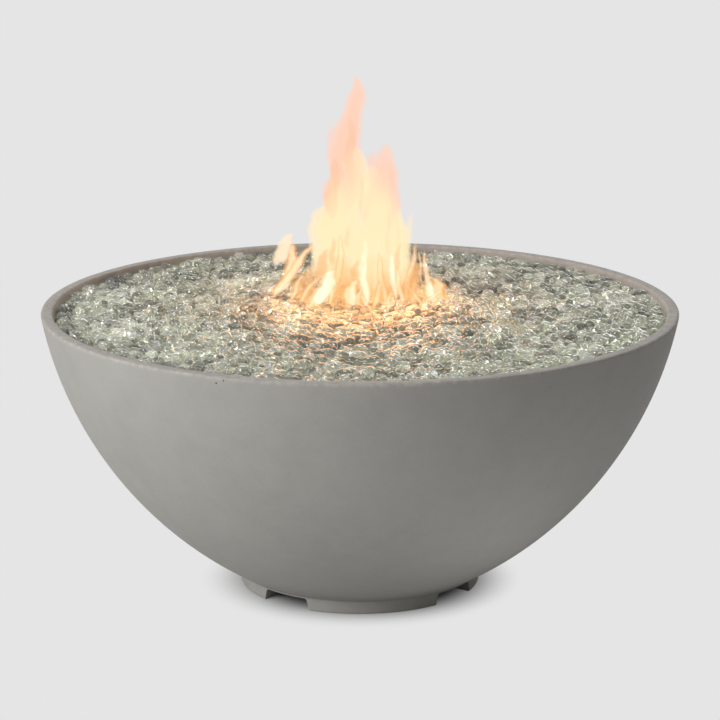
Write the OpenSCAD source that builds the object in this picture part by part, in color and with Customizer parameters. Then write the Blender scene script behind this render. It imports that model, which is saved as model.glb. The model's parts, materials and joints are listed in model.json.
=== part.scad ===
// Round gas fire pit bowl: a cast concrete bowl on a notched foot ring, with a steel burner pan,
// a double-ring burner under a bed of glass gems, and its gas valve and igniter set in the back wall.
// Millimetres, +Z up, origin at the centre of the foot ring on the ground. The controls face +Y.

/* [Bowl] */
// Diameter over the rim
rim_d = 1066.8; // [960:0.1:1200]
// Height from the ground to the rim
bowl_h = 476; // [440:1:540]
// Radius of the arc that the side follows, seen in section
side_r = 647; // [560:1:900]
// Wall thickness, square to the wall
wall = 19; // [16:0.5:24]
// Rounding of the rim's two edges
rim_round = 2.5; // [1:0.5:5]
// Diameter of the foot ring
foot_d = 406; // [360:1:460]
// Height of the foot ring's outer face
foot_h = 22; // [18:1:32]
// Width of the foot ring, from outside to inside
foot_w = 29; // [20:1:45]
// Thickness of the bowl's floor
floor_t = 32; // [24:1:45]
// Width of a foot notch at the ground
notch_w = 94; // [60:1:130]
// Height of a foot notch
notch_h = 20; // [12:1:28]
// Draft of a foot notch's sides, in degrees
notch_draft = 13; // [0:1:20]
// Diameter of the opening in the floor
service_d = 130; // [110:1:160]

/* [Burner pan] */
// Depth of the pan's ledge below the rim
ledge_drop = 46; // [40:1:60]
// Width of the cast ledge
ledge_w = 34; // [28:1:45]
// Sheet thickness of the pan
pan_t = 2; // [2:0.5:3]
// Gap between the pan's edge and the wall
pan_gap = 4; // [2:0.5:8]
// Diameter of the well in the middle of the pan
well_d = 400; // [390:1:460]
// Depth of the well
well_depth = 40; // [36:1:50]
// Number of screws that hold the pan to the ledge
pan_screw_count = 6; // [3:1:12]

/* [Burner] */
// Diameter over the outer ring
burner_d = 305; // [270:1:320]
// Diameter over the inner ring
inner_ring_d = 165; // [120:1:190]
// Outer diameter of the ring tubes
burner_tube = 19; // [16:0.5:20]
// Outer diameter of the four spoke tubes
spoke_tube = 16; // [12:0.5:16]
// Wall of the tubes
tube_wall = 1.5; // [1:0.1:2]
// Height of the tube centres above the well's floor
burner_lift = 28; // [26:1:30]
// Diameter of a gas port
port_d = 3; // [2:0.5:4]
// Ports in the outer ring
outer_ports = 24; // [8:1:36]
// Ports in the inner ring
inner_ports = 12; // [6:1:18]

/* [Fire glass] */
// Depth of the glass surface below the rim
glass_drop = 8; // [6:1:16]
// Height of a gem's crown in the top layer
gem_crown = 8; // [4:0.5:10]
// Spacing of the hollows between the gems
gem_pitch = 25.5; // [22:0.5:34]

/* [Control panel] */
// Distance of the panel's centre below the rim
panel_drop = 176; // [166:1:196]
// Width of the panel
panel_w = 120; // [116:1:140]
// Height of the panel
panel_h = 70; // [68:1:84]
// Sheet thickness of the panel
panel_t = 2; // [2:0.5:3]
// Depth of the pocket that the panel lies in
pocket_d = 6.5; // [5:0.5:8]
// Corner radius of the panel
panel_corner = 8; // [4:0.5:12]
// Distance of the knob from the panel's middle
knob_offset = 24; // [24:0.5:27]
// Distance of the igniter from the panel's middle
igniter_offset = 28; // [27:0.5:30]

/* [Knob and valve] */
// Diameter of the knob's skirt
knob_d = 42; // [38:1:46]
// Diameter of the knob's grip
grip_d = 31; // [26:1:34]
// Height of the knob
knob_h = 22; // [20:1:28]
// Travel of the knob when it is pushed in
knob_travel = 3; // [2:0.5:4]
// Diameter of the valve stem
stem_d = 8; // [7:0.5:8.5]
// Diameter of the valve body
valve_d = 31; // [30:0.5:33]
// Length of the valve body
valve_l = 46; // [44:1:54]

/* [Igniter] */
// Diameter of the igniter's barrel
barrel_d = 22; // [21:0.5:24]
// Diameter of the push button
button_d = 15; // [12:0.5:15]
// Travel of the push button
button_travel = 3; // [2:0.5:4]
// Diameter of the battery
cell_d = 14.2; // [13.5:0.1:14.5]
// Length of the battery
cell_l = 50; // [44:0.5:51]

/* [Gas lines] */
// Outer diameter of the nipple that feeds the burner
nipple_d = 21; // [18:0.5:22]
// Outer diameter of the ribbed line from the valve to the mixer
flex_d = 14; // [10:0.5:15]
// Outer diameter of the supply tube
supply_d = 9.5; // [8:0.5:12]
// Bend radius of the two lines
bend_r = 45; // [40:1:50]
// Outer diameter of the inlet's thread
inlet_d = 15.8; // [14:0.1:18]
// Length of the inlet's thread
inlet_l = 17; // [12:1:17]
// Diameter of the line ends that the union nuts hold
union_d = 16; // [15.5:0.5:17]

/* [Hidden] */
$fn = 96;
// Fine steps for the large arcs of the bowl
arc_fn = 360;
// Overshoot of every cut
cut = 1;
// Radial clearance of a part that turns or slides in its hole
run = 0.05;
// Radial clearance of a part that stays in its hole
seat = 0.1;
// Clearance between end faces that don't bear on each other
end_gap = 0.3;
// Clearance between the glass and what it lies on, and round the burner
glass_gap = 0.3;
burner_gap = 1;
// What a screw shows past its nut
screw_end = 2;

rim_r = rim_d / 2;
foot_r = foot_d / 2;
floor_z = foot_h + floor_t;

// The side's arc runs from the top of the foot to the rim, and its centre lies past the axis
side_chord = [rim_r - foot_r, bowl_h - foot_h];
chord_l = norm(side_chord);
centre_off = sqrt(side_r * side_r - chord_l * chord_l / 4);
arc_x = (rim_r + foot_r) / 2 - centre_off * side_chord.y / chord_l;
arc_z = (bowl_h + foot_h) / 2 + centre_off * side_chord.x / chord_l;
inner_arc_r = side_r - wall;
function inner_r(z) = arc_x + sqrt(pow(inner_arc_r, 2) - pow(z - arc_z, 2));

// Burner pan
ledge_z = bowl_h - ledge_drop;
ledge_r = inner_r(ledge_z) - ledge_w;
shelf_z = ledge_z + pan_t;
pan_r = inner_r(ledge_z) - pan_gap;
well_r = well_d / 2;
well_z = shelf_z - well_depth;
well_draft = 4;
drain_r = 4;
drain_count = 8;
drain_in = 12;
drain_ring_r = well_r - drain_in;
pan_screw_r = (pan_r + ledge_r) / 2;
pan_screw_d = 6;
pan_screw_l = 24;
// Diameters of a screw's head, wide end and top, for each of its shank's
head_ratio = 1.9;
head_top_ratio = 1.5;

// Burner
burner_z = well_z + burner_lift;
outer_ring_r = (burner_d - burner_tube) / 2;
inner_ring_r = (inner_ring_d - burner_tube) / 2;
hub_r = 17;
hub_h = 30;
hub_bore_l = 15;
hub_z = burner_z - hub_h / 2;
leg_t = 3;
leg_w = 32;
leg_tab = 24;
leg_screw_d = 5;
leg_nut_t = 4;
small_nut_grip = 3;
leg_turn = 45;

// Glass
bed_z = bowl_h - glass_drop - gem_crown;
bed_edge = 1.5;
gem_base = 2;
gem_lean = 2.5;
bed_r = inner_r(shelf_z) - bed_edge;
gem_r = inner_r(bed_z) - bed_edge;
gem_rings = round(gem_r / gem_pitch);
gem_step = gem_r / gem_rings;

// Pilot pieces: the spark electrode and the thermocouple stand side by side near the outer ring
pilot_out = 24;
pilot_y = outer_ring_r + burner_tube / 2 + pilot_out;
pilot_x = 18;
pilot_w = 60;
pilot_d = 18;
pilot_h = 12;
pilot_t = 1.5;
pilot_tab = 11;
pilot_z = well_z + pilot_h;
pilot_hang = 20;
pilot_low = well_z - pilot_hang;
pilot_rise = 6;
pilot_top = burner_z + burner_tube / 2 + pilot_rise;
collar_h = 2.5;
collar_w = 2;
pilot_clear = 1;
ceramic_r = 4;
rod_r = 1.25;
rod_tail = 10;
rod_low = pilot_low - rod_tail;
probe_r = 3;
probe_tip_r = 1.5;
probe_short = 2;
pilot_screw_d = 4;
pilot_nut_t = 3;

// Feed under the pan: nipple, lock nuts, elbow, mixer and orifice
nipple_r = nipple_d / 2;
nipple_wall = 2.5;
nipple_bore = nipple_r - nipple_wall;
nut_t = 8;
nut_grip = 9;
nut_af = nipple_d + nut_grip;
elbow_wall = 3.5;
elbow_r = nipple_r + elbow_wall;
elbow_l = 24;
elbow_socket = 12;
elbow_drop = 4;
elbow_z = well_z - pan_t - nut_t - elbow_drop - elbow_l;
mixer_l = 70;
mixer_y = elbow_l + end_gap;
mixer_end = mixer_y + mixer_l;
window_l = 26;
window_w = 10;
jet_r = 0.9;
union_r = union_d / 2;
union_l = 14;
union_in = 3;
union_grip = 5;
jet_hex_l = 10;
jet_grip = 7;
jet_end = mixer_end + jet_hex_l + union_l;
line_bore = 4;

// Control panel: it lies square to the wall at panel_z and is tilted down with it
panel_z = bowl_h - panel_drop;
panel_tilt = asin((arc_z - panel_z) / side_r);
panel_y = arc_x + side_r * cos(panel_tilt);
panel_back = -pocket_d;
panel_front = panel_back + panel_t;
panel_lip = 12;
panel_play = 1;
window_gap = 3.8;
panel_screw_in = 6;
panel_screw_d = 4;
anchor_r = 3.2;
anchor_l = 9;
screw_head_h = 2.4;
// Row place of a point given across, up and out from the middle of the panel's outer wall
function panel_point(p) = [
    -p.x,
    panel_y + p.y * sin(panel_tilt) + p.z * cos(panel_tilt),
    panel_z + p.y * cos(panel_tilt) - p.z * sin(panel_tilt)
];

// Valve, from the panel inwards: bonnet, body with its turning plug, and the safety magnet
bonnet_t = 6;
body_top = panel_back - bonnet_t;
body_low = body_top - valve_l;
valve_r = valve_d / 2;
stem_r = stem_d / 2;
stem_flat = stem_r * 0.7;
plug_sink = 0.5;
plug_top = body_top - plug_sink;
plug_l = 35;
plug_r = 8.5;
plug_taper = 2;
plug_low = plug_top - plug_l;
key_l = 25;
spring_spare = 4;
stem_room = knob_travel + spring_spare;
stem_in = key_l - stem_room;
port_up = 6;
port_z = plug_low + port_up;
port_r = 2.5;
valve_screw_d = 4;
valve_screw_l = 17;
valve_screw_off = 11.6;
boss_out = 12;
boss_l = valve_r + boss_out;
magnet_d = 18;
magnet_l = 32;
spigot_r = 6;
spigot_l = 6;
magnet_low = body_low - magnet_l;
knob_gap = 1;
knob_base = panel_front + knob_travel + knob_gap;
skirt_h = 4;
knob_bore_l = 15;
pointer_w = 4;
pointer_in = 2;
knob_draft = 1.5;
stem_clear = 1.5;

// Igniter
barrel_r = barrel_d / 2;
button_r = button_d / 2;
bezel_w = 3;
bezel_r = barrel_r + bezel_w;
bezel_edge = 1;
bezel_h = 2.5;
bezel_z = panel_front + bezel_h;
lip_h = 3;
barrel_wall = 3.1;
flange_r = barrel_r - barrel_wall;
flange_h = 3;
button_low = bezel_z - lip_h - end_gap - flange_h;
button_proud = 1.5;
button_edge = 1;
button_out = button_travel + button_proud;
cell_spare = 2.5;
button_room = button_travel + cell_spare;
cell_top = button_low - button_room;
cell_low = cell_top - cell_l;
cell_nub_r = 2.7;
cell_nub_h = 1.5;
barrel_end = 2.5;
barrel_low = cell_low - barrel_end;
igniter_nut_t = 5;
igniter_grip = 6;
igniter_nut_af = barrel_d + igniter_grip;

// Window in the wall behind the panel, which the valve and the igniter pass through
window_across = 2 * (max(knob_offset + valve_r, igniter_offset + igniter_nut_af / sqrt(3)) + window_gap);
window_up = panel_h - 2 * panel_lip;

// Return springs, wound from wire
spring_steps = 8;
spring_sides = 6;
stem_wire_r = 0.35;
stem_coil_r = 2.2;
stem_turns = 5;
button_wire_r = 0.4;
button_coil_r = 5.5;
button_turns = 2.5;

// Inlet at the floor opening
strap_t = 3;
strap_w = 40;
strap_over = 30;
strap_l = service_d + 2 * strap_over;
strap_corner = 6;
strap_screw_out = 18;
strap_screw_x = service_d / 2 + strap_screw_out;
strap_screw_d = 6;
strap_screw_l = 22;
inlet_r = inlet_d / 2;
inlet_hex_t = 8;
inlet_grip = 8;
inlet_hex_af = inlet_d + inlet_grip;
inlet_low = floor_z - inlet_hex_t - inlet_l;
inlet_flare = 3;
inlet_nut_t = 6;
inlet_top = floor_z + strap_t + inlet_nut_t + union_l;

// Routes of the lines and wires, from end to end
valve_x = -knob_offset;
flex_r = flex_d / 2;
supply_r = supply_d / 2;
wire_r = 2.5;
lead_r = 1.5;
wire_bend = 12;
bend_steps = 12;
line_wall = 1;
rib_pitch = 8;
rib_depth = 1;
flex_reach = 95;
flex_run = 140;
flex_side = valve_r + flex_reach;
flex_back = jet_end + flex_run;
outlet_end = panel_point([valve_x - boss_l, 0, port_z]);
inlet_end = panel_point([valve_x, -boss_l, port_z]);
flex_route = [
    [0, jet_end, elbow_z],
    [0, flex_back, elbow_z],
    [flex_side, flex_back, elbow_z],
    [flex_side, outlet_end.y, outlet_end.z],
    outlet_end
];
supply_rise = 75;
supply_run = 70;
supply_route = [
    [0, 0, inlet_top],
    [0, 0, inlet_top + supply_rise],
    panel_point([valve_x, -boss_l - supply_run, port_z]),
    inlet_end
];
wire_tail = 40;
wire_sag = 22;
wire_route = [
    panel_point([igniter_offset, 0, barrel_low]),
    panel_point([igniter_offset, 0, barrel_low - wire_tail]),
    [-pilot_x, pilot_y, rod_low - wire_sag],
    [-pilot_x, pilot_y, rod_low]
];
lead_tail = 25;
lead_dip = [0, 74, 26];
lead_sag = 57;
lead_route = [
    panel_point([valve_x, 0, magnet_low]),
    panel_point([valve_x, 0, magnet_low - lead_tail]),
    panel_point([valve_x, 0, magnet_low]) - lead_dip,
    [pilot_x, pilot_y, pilot_low - lead_sag],
    [pilot_x, pilot_y, pilot_low]
];

concrete = "#a3a19b";
steel = "#c4c6c8";
brass = "#c8a85a";
black = "#26272a";
ceramic = "#ece8df";
copper = "#b8734a";
glass = "#aeb8a6";

// Shared shapes

// Rectangle with round corners, centred
module rounded_rect(w, h, r) {
    square([w - 2 * r, h], center = true);
    square([w, h - 2 * r], center = true);
    for (x = [-1, 1], y = [-1, 1])
        translate([x * (w / 2 - r), y * (h / 2 - r)]) circle(r);
}

// Tube bent to a full ring
module ring(r, tube_r) {
    rotate_extrude($fn = 180) translate([r, 0]) circle(tube_r, $fn = 48);
}

// Hexagon bar across its flats
module hexagon(af, h) {
    cylinder(d = af / cos(30), h = h, $fn = 6);
}

module nut(af, h, bore_r) {
    difference() {
        hexagon(af, h);
        translate([0, 0, -cut]) cylinder(r = bore_r, h = h + 2 * cut);
    }
}

// Cone of a countersunk head, its wide end at z = 0 and pointing down, grown by a clearance
module countersink(d, grow = 0) {
    head_r = d * head_ratio / 2 + grow;
    translate([0, 0, d / 2 - head_r]) cylinder(r1 = d / 2, r2 = head_r, h = head_r - d / 2);
}

module countersunk_screw(d, l) {
    countersink(d);
    translate([0, 0, -l]) cylinder(d = d, h = l);
}

module pan_head_screw(d, l, head_h) {
    cylinder(d1 = d * head_ratio, d2 = d * head_top_ratio, h = head_h);
    translate([0, 0, -l]) cylinder(d = d, h = l + head_h / 2);
}

// Children stand on the wall at the panel: x across, y up the wall, z out of it
module at_panel() {
    translate([0, panel_y, panel_z]) rotate([-90 - panel_tilt, 0, 0]) rotate([0, 0, 180]) children();
}

// Children's z runs along a direction from a point
module along(start, way) {
    translate(start)
        rotate([0, acos(way.z / norm(way)), atan2(way.y, way.x)]) children();
}

// A line's path: its route of points, with an arc of a bend radius at each corner
function unit(v) = v / norm(v);
function leg(p, i) = unit(p[i + 1] - p[i]);
function corner_arc(p, i, bend) =
    let (way = leg(p, i - 1),
        turn = acos(way * leg(p, i)),
        out = -cross(unit(cross(way, leg(p, i))), way),
        centre = p[i] - way * bend * tan(turn / 2) - out * bend)
    [for (t = [0 : bend_steps]) let (a = turn * t / bend_steps)
        centre + bend * (out * cos(a) + way * sin(a))];
function path_of(p, bend) =
    [p[0], for (i = [1 : len(p) - 2]) each corner_arc(p, i, bend), p[len(p) - 1]];
function path_marks(path, i = 0, s = 0) =
    [s, if (i < len(path) - 1) each path_marks(path, i + 1, s + norm(path[i + 1] - path[i]))];

// Points at an even spacing near a given step along a path, and the directions there
function even_points(path, step) =
    let (marks = path_marks(path),
        whole = marks[len(marks) - 1],
        count = ceil(whole / step),
        tables = [for (axis = [0 : 2]) [for (i = [0 : len(path) - 1]) [marks[i], path[i][axis]]]])
    [for (k = [0 : count]) [for (t = tables) lookup(whole * k / count, t)]];
function way_at(p, i) = unit(p[min(i + 1, len(p) - 1)] - p[max(i - 1, 0)]);

// Side directions carried along the points, so that the line doesn't twist
function carried_sides(p, i, side) =
    let (way = way_at(p, i), square_on = unit(side - (side * way) * way))
    [square_on, if (i < len(p) - 1) each carried_sides(p, i + 1, square_on)];

// Rings of a line whose radius is the next of a list of radii at each point
function line_rings(p, radii, sides) =
    let (across = carried_sides(p, 0, abs(way_at(p, 0).z) > 0.7 ? [1, 0, 0] : [0, 0, 1]))
    [for (i = [0 : len(p) - 1]) let (up = cross(way_at(p, i), across[i]))
        for (j = [0 : sides - 1]) let (a = j * 360 / sides)
            p[i] + radii[i % len(radii)] * (across[i] * cos(a) + up * sin(a))];
function wall_faces(rings, sides, first, inward) =
    [for (i = [0 : rings - 2]) for (j = [0 : sides - 1])
        let (a = first + i * sides + j, b = first + i * sides + (j + 1) % sides,
            c = a + sides, d = b + sides)
        each inward ? [[a, b, d], [a, d, c]] : [[a, d, b], [a, c, d]]];
function end_faces(sides, outer, bore, last) =
    [for (j = [0 : sides - 1])
        let (k = (j + 1) % sides, a = outer + j, b = outer + k, c = bore + j, d = bore + k)
        each last ? [[a, d, b], [a, c, d]] : [[a, b, d], [a, d, c]]];

// Round tube through points, hollow if it has a bore
module swept_tube(points, radii, sides, bore_r = 0) {
    rings = len(points);
    bore = rings * sides;
    outside = line_rings(points, radii, sides);
    outer_faces = wall_faces(rings, sides, 0, false);
    if (bore_r > 0)
        polyhedron(
            concat(outside, line_rings(points, [bore_r], sides)),
            concat(outer_faces, wall_faces(rings, sides, bore, true),
                end_faces(sides, 0, bore, false),
                end_faces(sides, bore - sides, 2 * bore - sides, true)));
    else
        polyhedron(outside, concat(outer_faces,
            [[for (j = [0 : sides - 1]) j], [for (j = [sides - 1 : -1 : 0]) bore - sides + j]]));
}

// Line along a route, bent at its corners
module swept_line(route, bend, step, radii, sides, bore_r = 0) {
    swept_tube(even_points(path_of(route, bend), step), radii, sides, bore_r);
}

// Points of a spring that fills a room between two seats, and the least gap between its turns
function spring_points(coil_r, wire_r, turns, room) =
    [for (i = [0 : turns * spring_steps]) let (a = i * 360 / spring_steps)
        [coil_r * cos(a), coil_r * sin(a), wire_r + (room - 2 * wire_r) * i / (turns * spring_steps)]];
function least_gap(points, wire_r) =
    min([for (i = [0 : len(points) - 1 - spring_steps / 2])
        for (j = [i + spring_steps / 2 : len(points) - 1]) norm(points[i] - points[j])]) - 2 * wire_r;

// Bowl

// Half section of the cavity: the upper part down to the ledge, and the lower part inside it
module cavity_section() {
    intersection() {
        translate([arc_x, arc_z]) circle(inner_arc_r, $fn = arc_fn);
        union() {
            translate([0, ledge_z]) square([rim_r, bowl_h]);
            translate([0, floor_z]) square([ledge_r, bowl_h]);
        }
    }
}

// What rounding takes off one edge of the rim; the wall's arc has radius r and lies on side out or in
module rim_edge_cut(r, side) {
    round_r = r - side * rim_round;
    z = bowl_h - rim_round;
    x = arc_x + sqrt(pow(round_r, 2) - pow(z - arc_z, 2));
    touch = [x, z] + side * rim_round * unit([x - arc_x, z - arc_z]);
    difference() {
        polygon([[x, z], [x, bowl_h + cut], [x + side * 3 * rim_round, bowl_h + cut],
            [x + side * 3 * rim_round, touch.y], touch]);
        translate([x, z]) circle(rim_round, $fn = 48);
    }
}

module bowl_section() {
    difference() {
        union() {
            intersection() {
                translate([arc_x, arc_z]) circle(side_r, $fn = arc_fn);
                translate([0, foot_h]) square([rim_r + cut, bowl_h - foot_h]);
            }
            square([foot_r, foot_h + cut / 2]);
        }
        cavity_section();
        translate([-cut, -cut]) square([foot_r - foot_w + cut, foot_h + cut]);
        translate([-cut, 0]) square([service_d / 2 + cut, bowl_h / 2]);
        rim_edge_cut(side_r, 1);
        rim_edge_cut(inner_arc_r, -1);
    }
}

module foot_notch() {
    top_w = notch_w / 2 - notch_h * tan(notch_draft);
    low_w = notch_w / 2 + cut * tan(notch_draft);
    rotate([90, 0, 0]) linear_extrude(foot_r + cut)
        polygon([[-low_w, -cut], [low_w, -cut], [top_w, notch_h], [-top_w, notch_h]]);
}

module panel_screw_places() {
    for (x = [-1, 1], y = [-1, 1])
        translate([x * (panel_w / 2 - panel_screw_in), y * (panel_h / 2 - panel_screw_in)]) children();
}

module panel_pocket() {
    at_panel() {
        translate([0, 0, panel_back]) linear_extrude(2 * pocket_d)
            rounded_rect(panel_w + 2 * panel_play, panel_h + 2 * panel_play, panel_corner + panel_play);
        translate([0, 0, panel_back - 2 * wall]) linear_extrude(2 * wall + cut)
            rounded_rect(window_across, window_up, panel_corner);
        panel_screw_places() translate([0, 0, panel_back - anchor_l])
            cylinder(r = anchor_r, h = anchor_l + pocket_d);
    }
}

module pan_screw_places() {
    for (i = [0 : pan_screw_count - 1])
        rotate([0, 0, (i + 0.5) * 360 / pan_screw_count]) translate([pan_screw_r, 0, shelf_z]) children();
}

module strap_screw_places() {
    for (x = [-1, 1])
        translate([x * strap_screw_x, 0, floor_z + strap_t]) children();
}

module bowl() {
    color(concrete) difference() {
        rotate_extrude($fn = arc_fn) bowl_section();
        for (a = [0 : 90 : 270]) rotate([0, 0, a]) foot_notch();
        panel_pocket();
        pan_screw_places() {
            translate([0, 0, -pan_screw_l - seat])
                cylinder(d = pan_screw_d + 2 * seat, h = pan_screw_l + cut);
            countersink(pan_screw_d, seat);
        }
        strap_screw_places() translate([0, 0, -strap_screw_l - seat])
            cylinder(d = strap_screw_d + 2 * seat, h = strap_screw_l + cut);
    }
}

// Burner pan

// Outline of the pressed sheet: the well's floor and drafted wall, and the wide shelf
module pan_section() {
    low_r = well_r - well_depth * tan(well_draft);
    polygon([[0, well_z - pan_t], [low_r + pan_t, well_z - pan_t], [well_r + pan_t, ledge_z],
        [pan_r, ledge_z], [pan_r, shelf_z], [well_r, shelf_z], [low_r, well_z], [0, well_z]]);
}

module leg_places() {
    for (a = [0 : 90 : 270]) rotate([0, 0, leg_turn + a]) translate([outer_ring_r, 0, well_z]) children();
}

module leg_screw_places() {
    leg_places() translate([0, leg_tab / 2 + leg_t / 2, leg_t]) children();
}

module pilot_screw_places() {
    for (x = [-1, 1])
        translate([x * (pilot_w + pilot_tab) / 2, pilot_y, well_z + pilot_t]) children();
}

module burner_pan() {
    color(steel) difference() {
        rotate_extrude($fn = arc_fn) pan_section();
        translate([0, 0, well_z - pan_t - cut]) {
            cylinder(r = nipple_r + seat, h = pan_t + 2 * cut);
            translate([-pilot_x, pilot_y]) cylinder(r = ceramic_r + pilot_clear, h = pan_t + 2 * cut);
            translate([pilot_x, pilot_y]) cylinder(r = probe_r + pilot_clear, h = pan_t + 2 * cut);
            for (i = [0 : drain_count - 1])
                rotate([0, 0, (i + 0.25) * 360 / drain_count]) translate([drain_ring_r, 0])
                    cylinder(r = drain_r, h = pan_t + 2 * cut);
        }
        leg_screw_places() translate([0, 0, -leg_t - pan_t - cut])
            cylinder(d = leg_screw_d + 2 * seat, h = pan_t + 2 * cut);
        pilot_screw_places() translate([0, 0, -pilot_t - pan_t - cut])
            cylinder(d = pilot_screw_d + 2 * seat, h = pan_t + 2 * cut);
        pan_screw_places() {
            translate([0, 0, -pan_t - cut]) cylinder(d = pan_screw_d + 2 * seat, h = pan_t + 2 * cut);
            countersink(pan_screw_d, seat);
        }
    }
}

module pan_screws() {
    color(steel) pan_screw_places() countersunk_screw(pan_screw_d, pan_screw_l);
}

// Burner

// Outside of the welded burner
module burner_form() {
    translate([0, 0, burner_z]) {
        ring(outer_ring_r, burner_tube / 2);
        ring(inner_ring_r, burner_tube / 2);
        for (a = [0 : 90 : 270]) rotate([0, 90, a]) cylinder(d = spoke_tube, h = outer_ring_r);
    }
    translate([0, 0, hub_z]) cylinder(r = hub_r, h = hub_h);
}

// Gas ways inside it
module burner_ways() {
    translate([0, 0, burner_z]) {
        ring(outer_ring_r, burner_tube / 2 - tube_wall);
        ring(inner_ring_r, burner_tube / 2 - tube_wall);
        for (a = [0 : 90 : 270])
            rotate([0, 90, a]) cylinder(d = spoke_tube - 2 * tube_wall, h = outer_ring_r);
    }
    translate([0, 0, hub_z - cut]) cylinder(r = nipple_r + seat, h = hub_bore_l + cut);
}

module port_ring(r, count, turn) {
    for (i = [0 : count - 1])
        rotate([0, 0, turn + i * 360 / count]) translate([r, 0, burner_z])
            cylinder(d = port_d, h = burner_tube, $fn = 24);
}

module burner() {
    color(steel) difference() {
        burner_form();
        burner_ways();
        port_ring(outer_ring_r, outer_ports, 180 / outer_ports);
        port_ring(inner_ring_r, inner_ports, 180 / inner_ports);
    }
}

module burner_legs() {
    color(steel) difference() {
        leg_places() {
            translate([-leg_w / 2, -leg_t / 2, 0]) cube([leg_w, leg_t, burner_lift]);
            translate([-leg_w / 2, -leg_t / 2, 0]) cube([leg_w, leg_tab + leg_t / 2, leg_t]);
        }
        leg_places() translate([0, -leg_t, burner_lift]) rotate([-90, 0, 0])
            cylinder(d = burner_tube + 2 * seat, h = 2 * leg_t);
        leg_screw_places() translate([0, 0, -leg_t - cut])
            cylinder(d = leg_screw_d + 2 * seat, h = leg_t + 2 * cut);
    }
}

module leg_screws() {
    color(steel) leg_screw_places()
        pan_head_screw(leg_screw_d, leg_t + pan_t + leg_nut_t + screw_end, screw_head_h);
}

module leg_nuts() {
    color(steel) leg_screw_places() translate([0, 0, -leg_t - pan_t - leg_nut_t])
        nut(leg_screw_d + small_nut_grip, leg_nut_t, leg_screw_d / 2 + seat / 2);
}

// Feed under the pan

module gas_nipple() {
    low = elbow_z + elbow_l - elbow_socket + end_gap;
    high = hub_z + hub_bore_l - end_gap;
    color(steel) translate([0, 0, low]) difference() {
        cylinder(r = nipple_r, h = high - low);
        translate([0, 0, -cut]) cylinder(r = nipple_bore, h = high - low + 2 * cut);
    }
}

module nipple_locknuts() {
    color(steel) for (z = [well_z, well_z - pan_t - nut_t])
        translate([0, 0, z]) nut(nut_af, nut_t, nipple_r + seat / 2);
}

module feed_elbow() {
    color(steel) translate([0, 0, elbow_z]) difference() {
        union() {
            sphere(elbow_r);
            cylinder(r = elbow_r, h = elbow_l);
            rotate([-90, 0, 0]) cylinder(r = elbow_r, h = elbow_l);
        }
        sphere(nipple_bore);
        for (turn = [0, -90]) rotate([turn, 0, 0]) {
            cylinder(r = nipple_bore, h = elbow_l + cut);
            translate([0, 0, elbow_l - elbow_socket]) cylinder(r = nipple_r + seat, h = elbow_socket + cut);
        }
    }
}

module air_mixer() {
    spigot_y = elbow_l - elbow_socket + end_gap;
    color(brass) translate([0, 0, elbow_z]) rotate([-90, 0, 0]) difference() {
        union() {
            translate([0, 0, spigot_y]) cylinder(r = nipple_r, h = mixer_end - spigot_y);
            translate([0, 0, mixer_y]) cylinder(r = elbow_r, h = mixer_l);
        }
        translate([0, 0, spigot_y - cut]) cylinder(r = nipple_bore, h = mixer_end - spigot_y);
        translate([0, 0, mixer_end - jet_hex_l]) cylinder(r = union_r + seat, h = jet_hex_l + cut);
        for (turn = [0, 90]) rotate([0, 0, turn])
            translate([-elbow_r - cut, -window_w / 2, mixer_end - jet_hex_l - window_l - window_w / 2])
                cube([2 * elbow_r + 2 * cut, window_w, window_l]);
    }
}

module gas_orifice() {
    color(brass) translate([0, 0, elbow_z]) rotate([-90, 0, 0]) difference() {
        union() {
            translate([0, 0, mixer_end - jet_hex_l + end_gap]) cylinder(r = union_r, h = jet_hex_l);
            translate([0, 0, mixer_end]) hexagon(union_d + jet_grip, jet_hex_l);
            translate([0, 0, jet_end - union_l]) cylinder(r = union_r, h = union_l);
        }
        translate([0, 0, mixer_end - jet_hex_l]) cylinder(r = jet_r, h = jet_end, $fn = 24);
        translate([0, 0, mixer_end - jet_hex_l / 2]) cylinder(r = line_bore, h = jet_end);
    }
}

// Ribbed line: its radius goes up and down by the depth of a rib
module flex_line() {
    color(steel) swept_line(flex_route, bend_r, rib_pitch / 2, [flex_r, flex_r - rib_depth], 8,
        flex_r - rib_depth - line_wall);
}

module supply_line() {
    color(brass) swept_line(supply_route, bend_r, 1.5 * supply_d, [supply_r], 10, supply_r - line_wall);
}

// Union nut on the joint of a line and the end that feeds it
module union_nut(joint, way, line_r) {
    along(joint, way) difference() {
        translate([0, 0, union_in - union_l]) hexagon(union_d + union_grip, 2 * (union_l - union_in));
        translate([0, 0, -union_l]) cylinder(r = union_r + seat, h = union_l);
        translate([0, 0, -cut]) cylinder(r = line_r + seat, h = union_l);
    }
}

module union_nuts() {
    last_flex = len(flex_route) - 1;
    last_supply = len(supply_route) - 1;
    color(brass) {
        union_nut(flex_route[0], leg(flex_route, 0), flex_r);
        union_nut(flex_route[last_flex], -leg(flex_route, last_flex - 1), flex_r);
        union_nut(supply_route[0], leg(supply_route, 0), supply_r);
        union_nut(supply_route[last_supply], -leg(supply_route, last_supply - 1), supply_r);
    }
}

module inlet_fitting() {
    color(brass) difference() {
        union() {
            translate([0, 0, inlet_low - inlet_flare])
                cylinder(r1 = inlet_r - inlet_flare, r2 = inlet_r, h = inlet_flare);
            translate([0, 0, inlet_low]) cylinder(r = inlet_r, h = inlet_l);
            translate([0, 0, floor_z - inlet_hex_t]) hexagon(inlet_hex_af, inlet_hex_t);
            translate([0, 0, floor_z]) cylinder(r = union_r, h = inlet_top - floor_z);
        }
        translate([0, 0, inlet_low - inlet_flare - cut]) cylinder(r = line_bore, h = inlet_top);
    }
}

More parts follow.
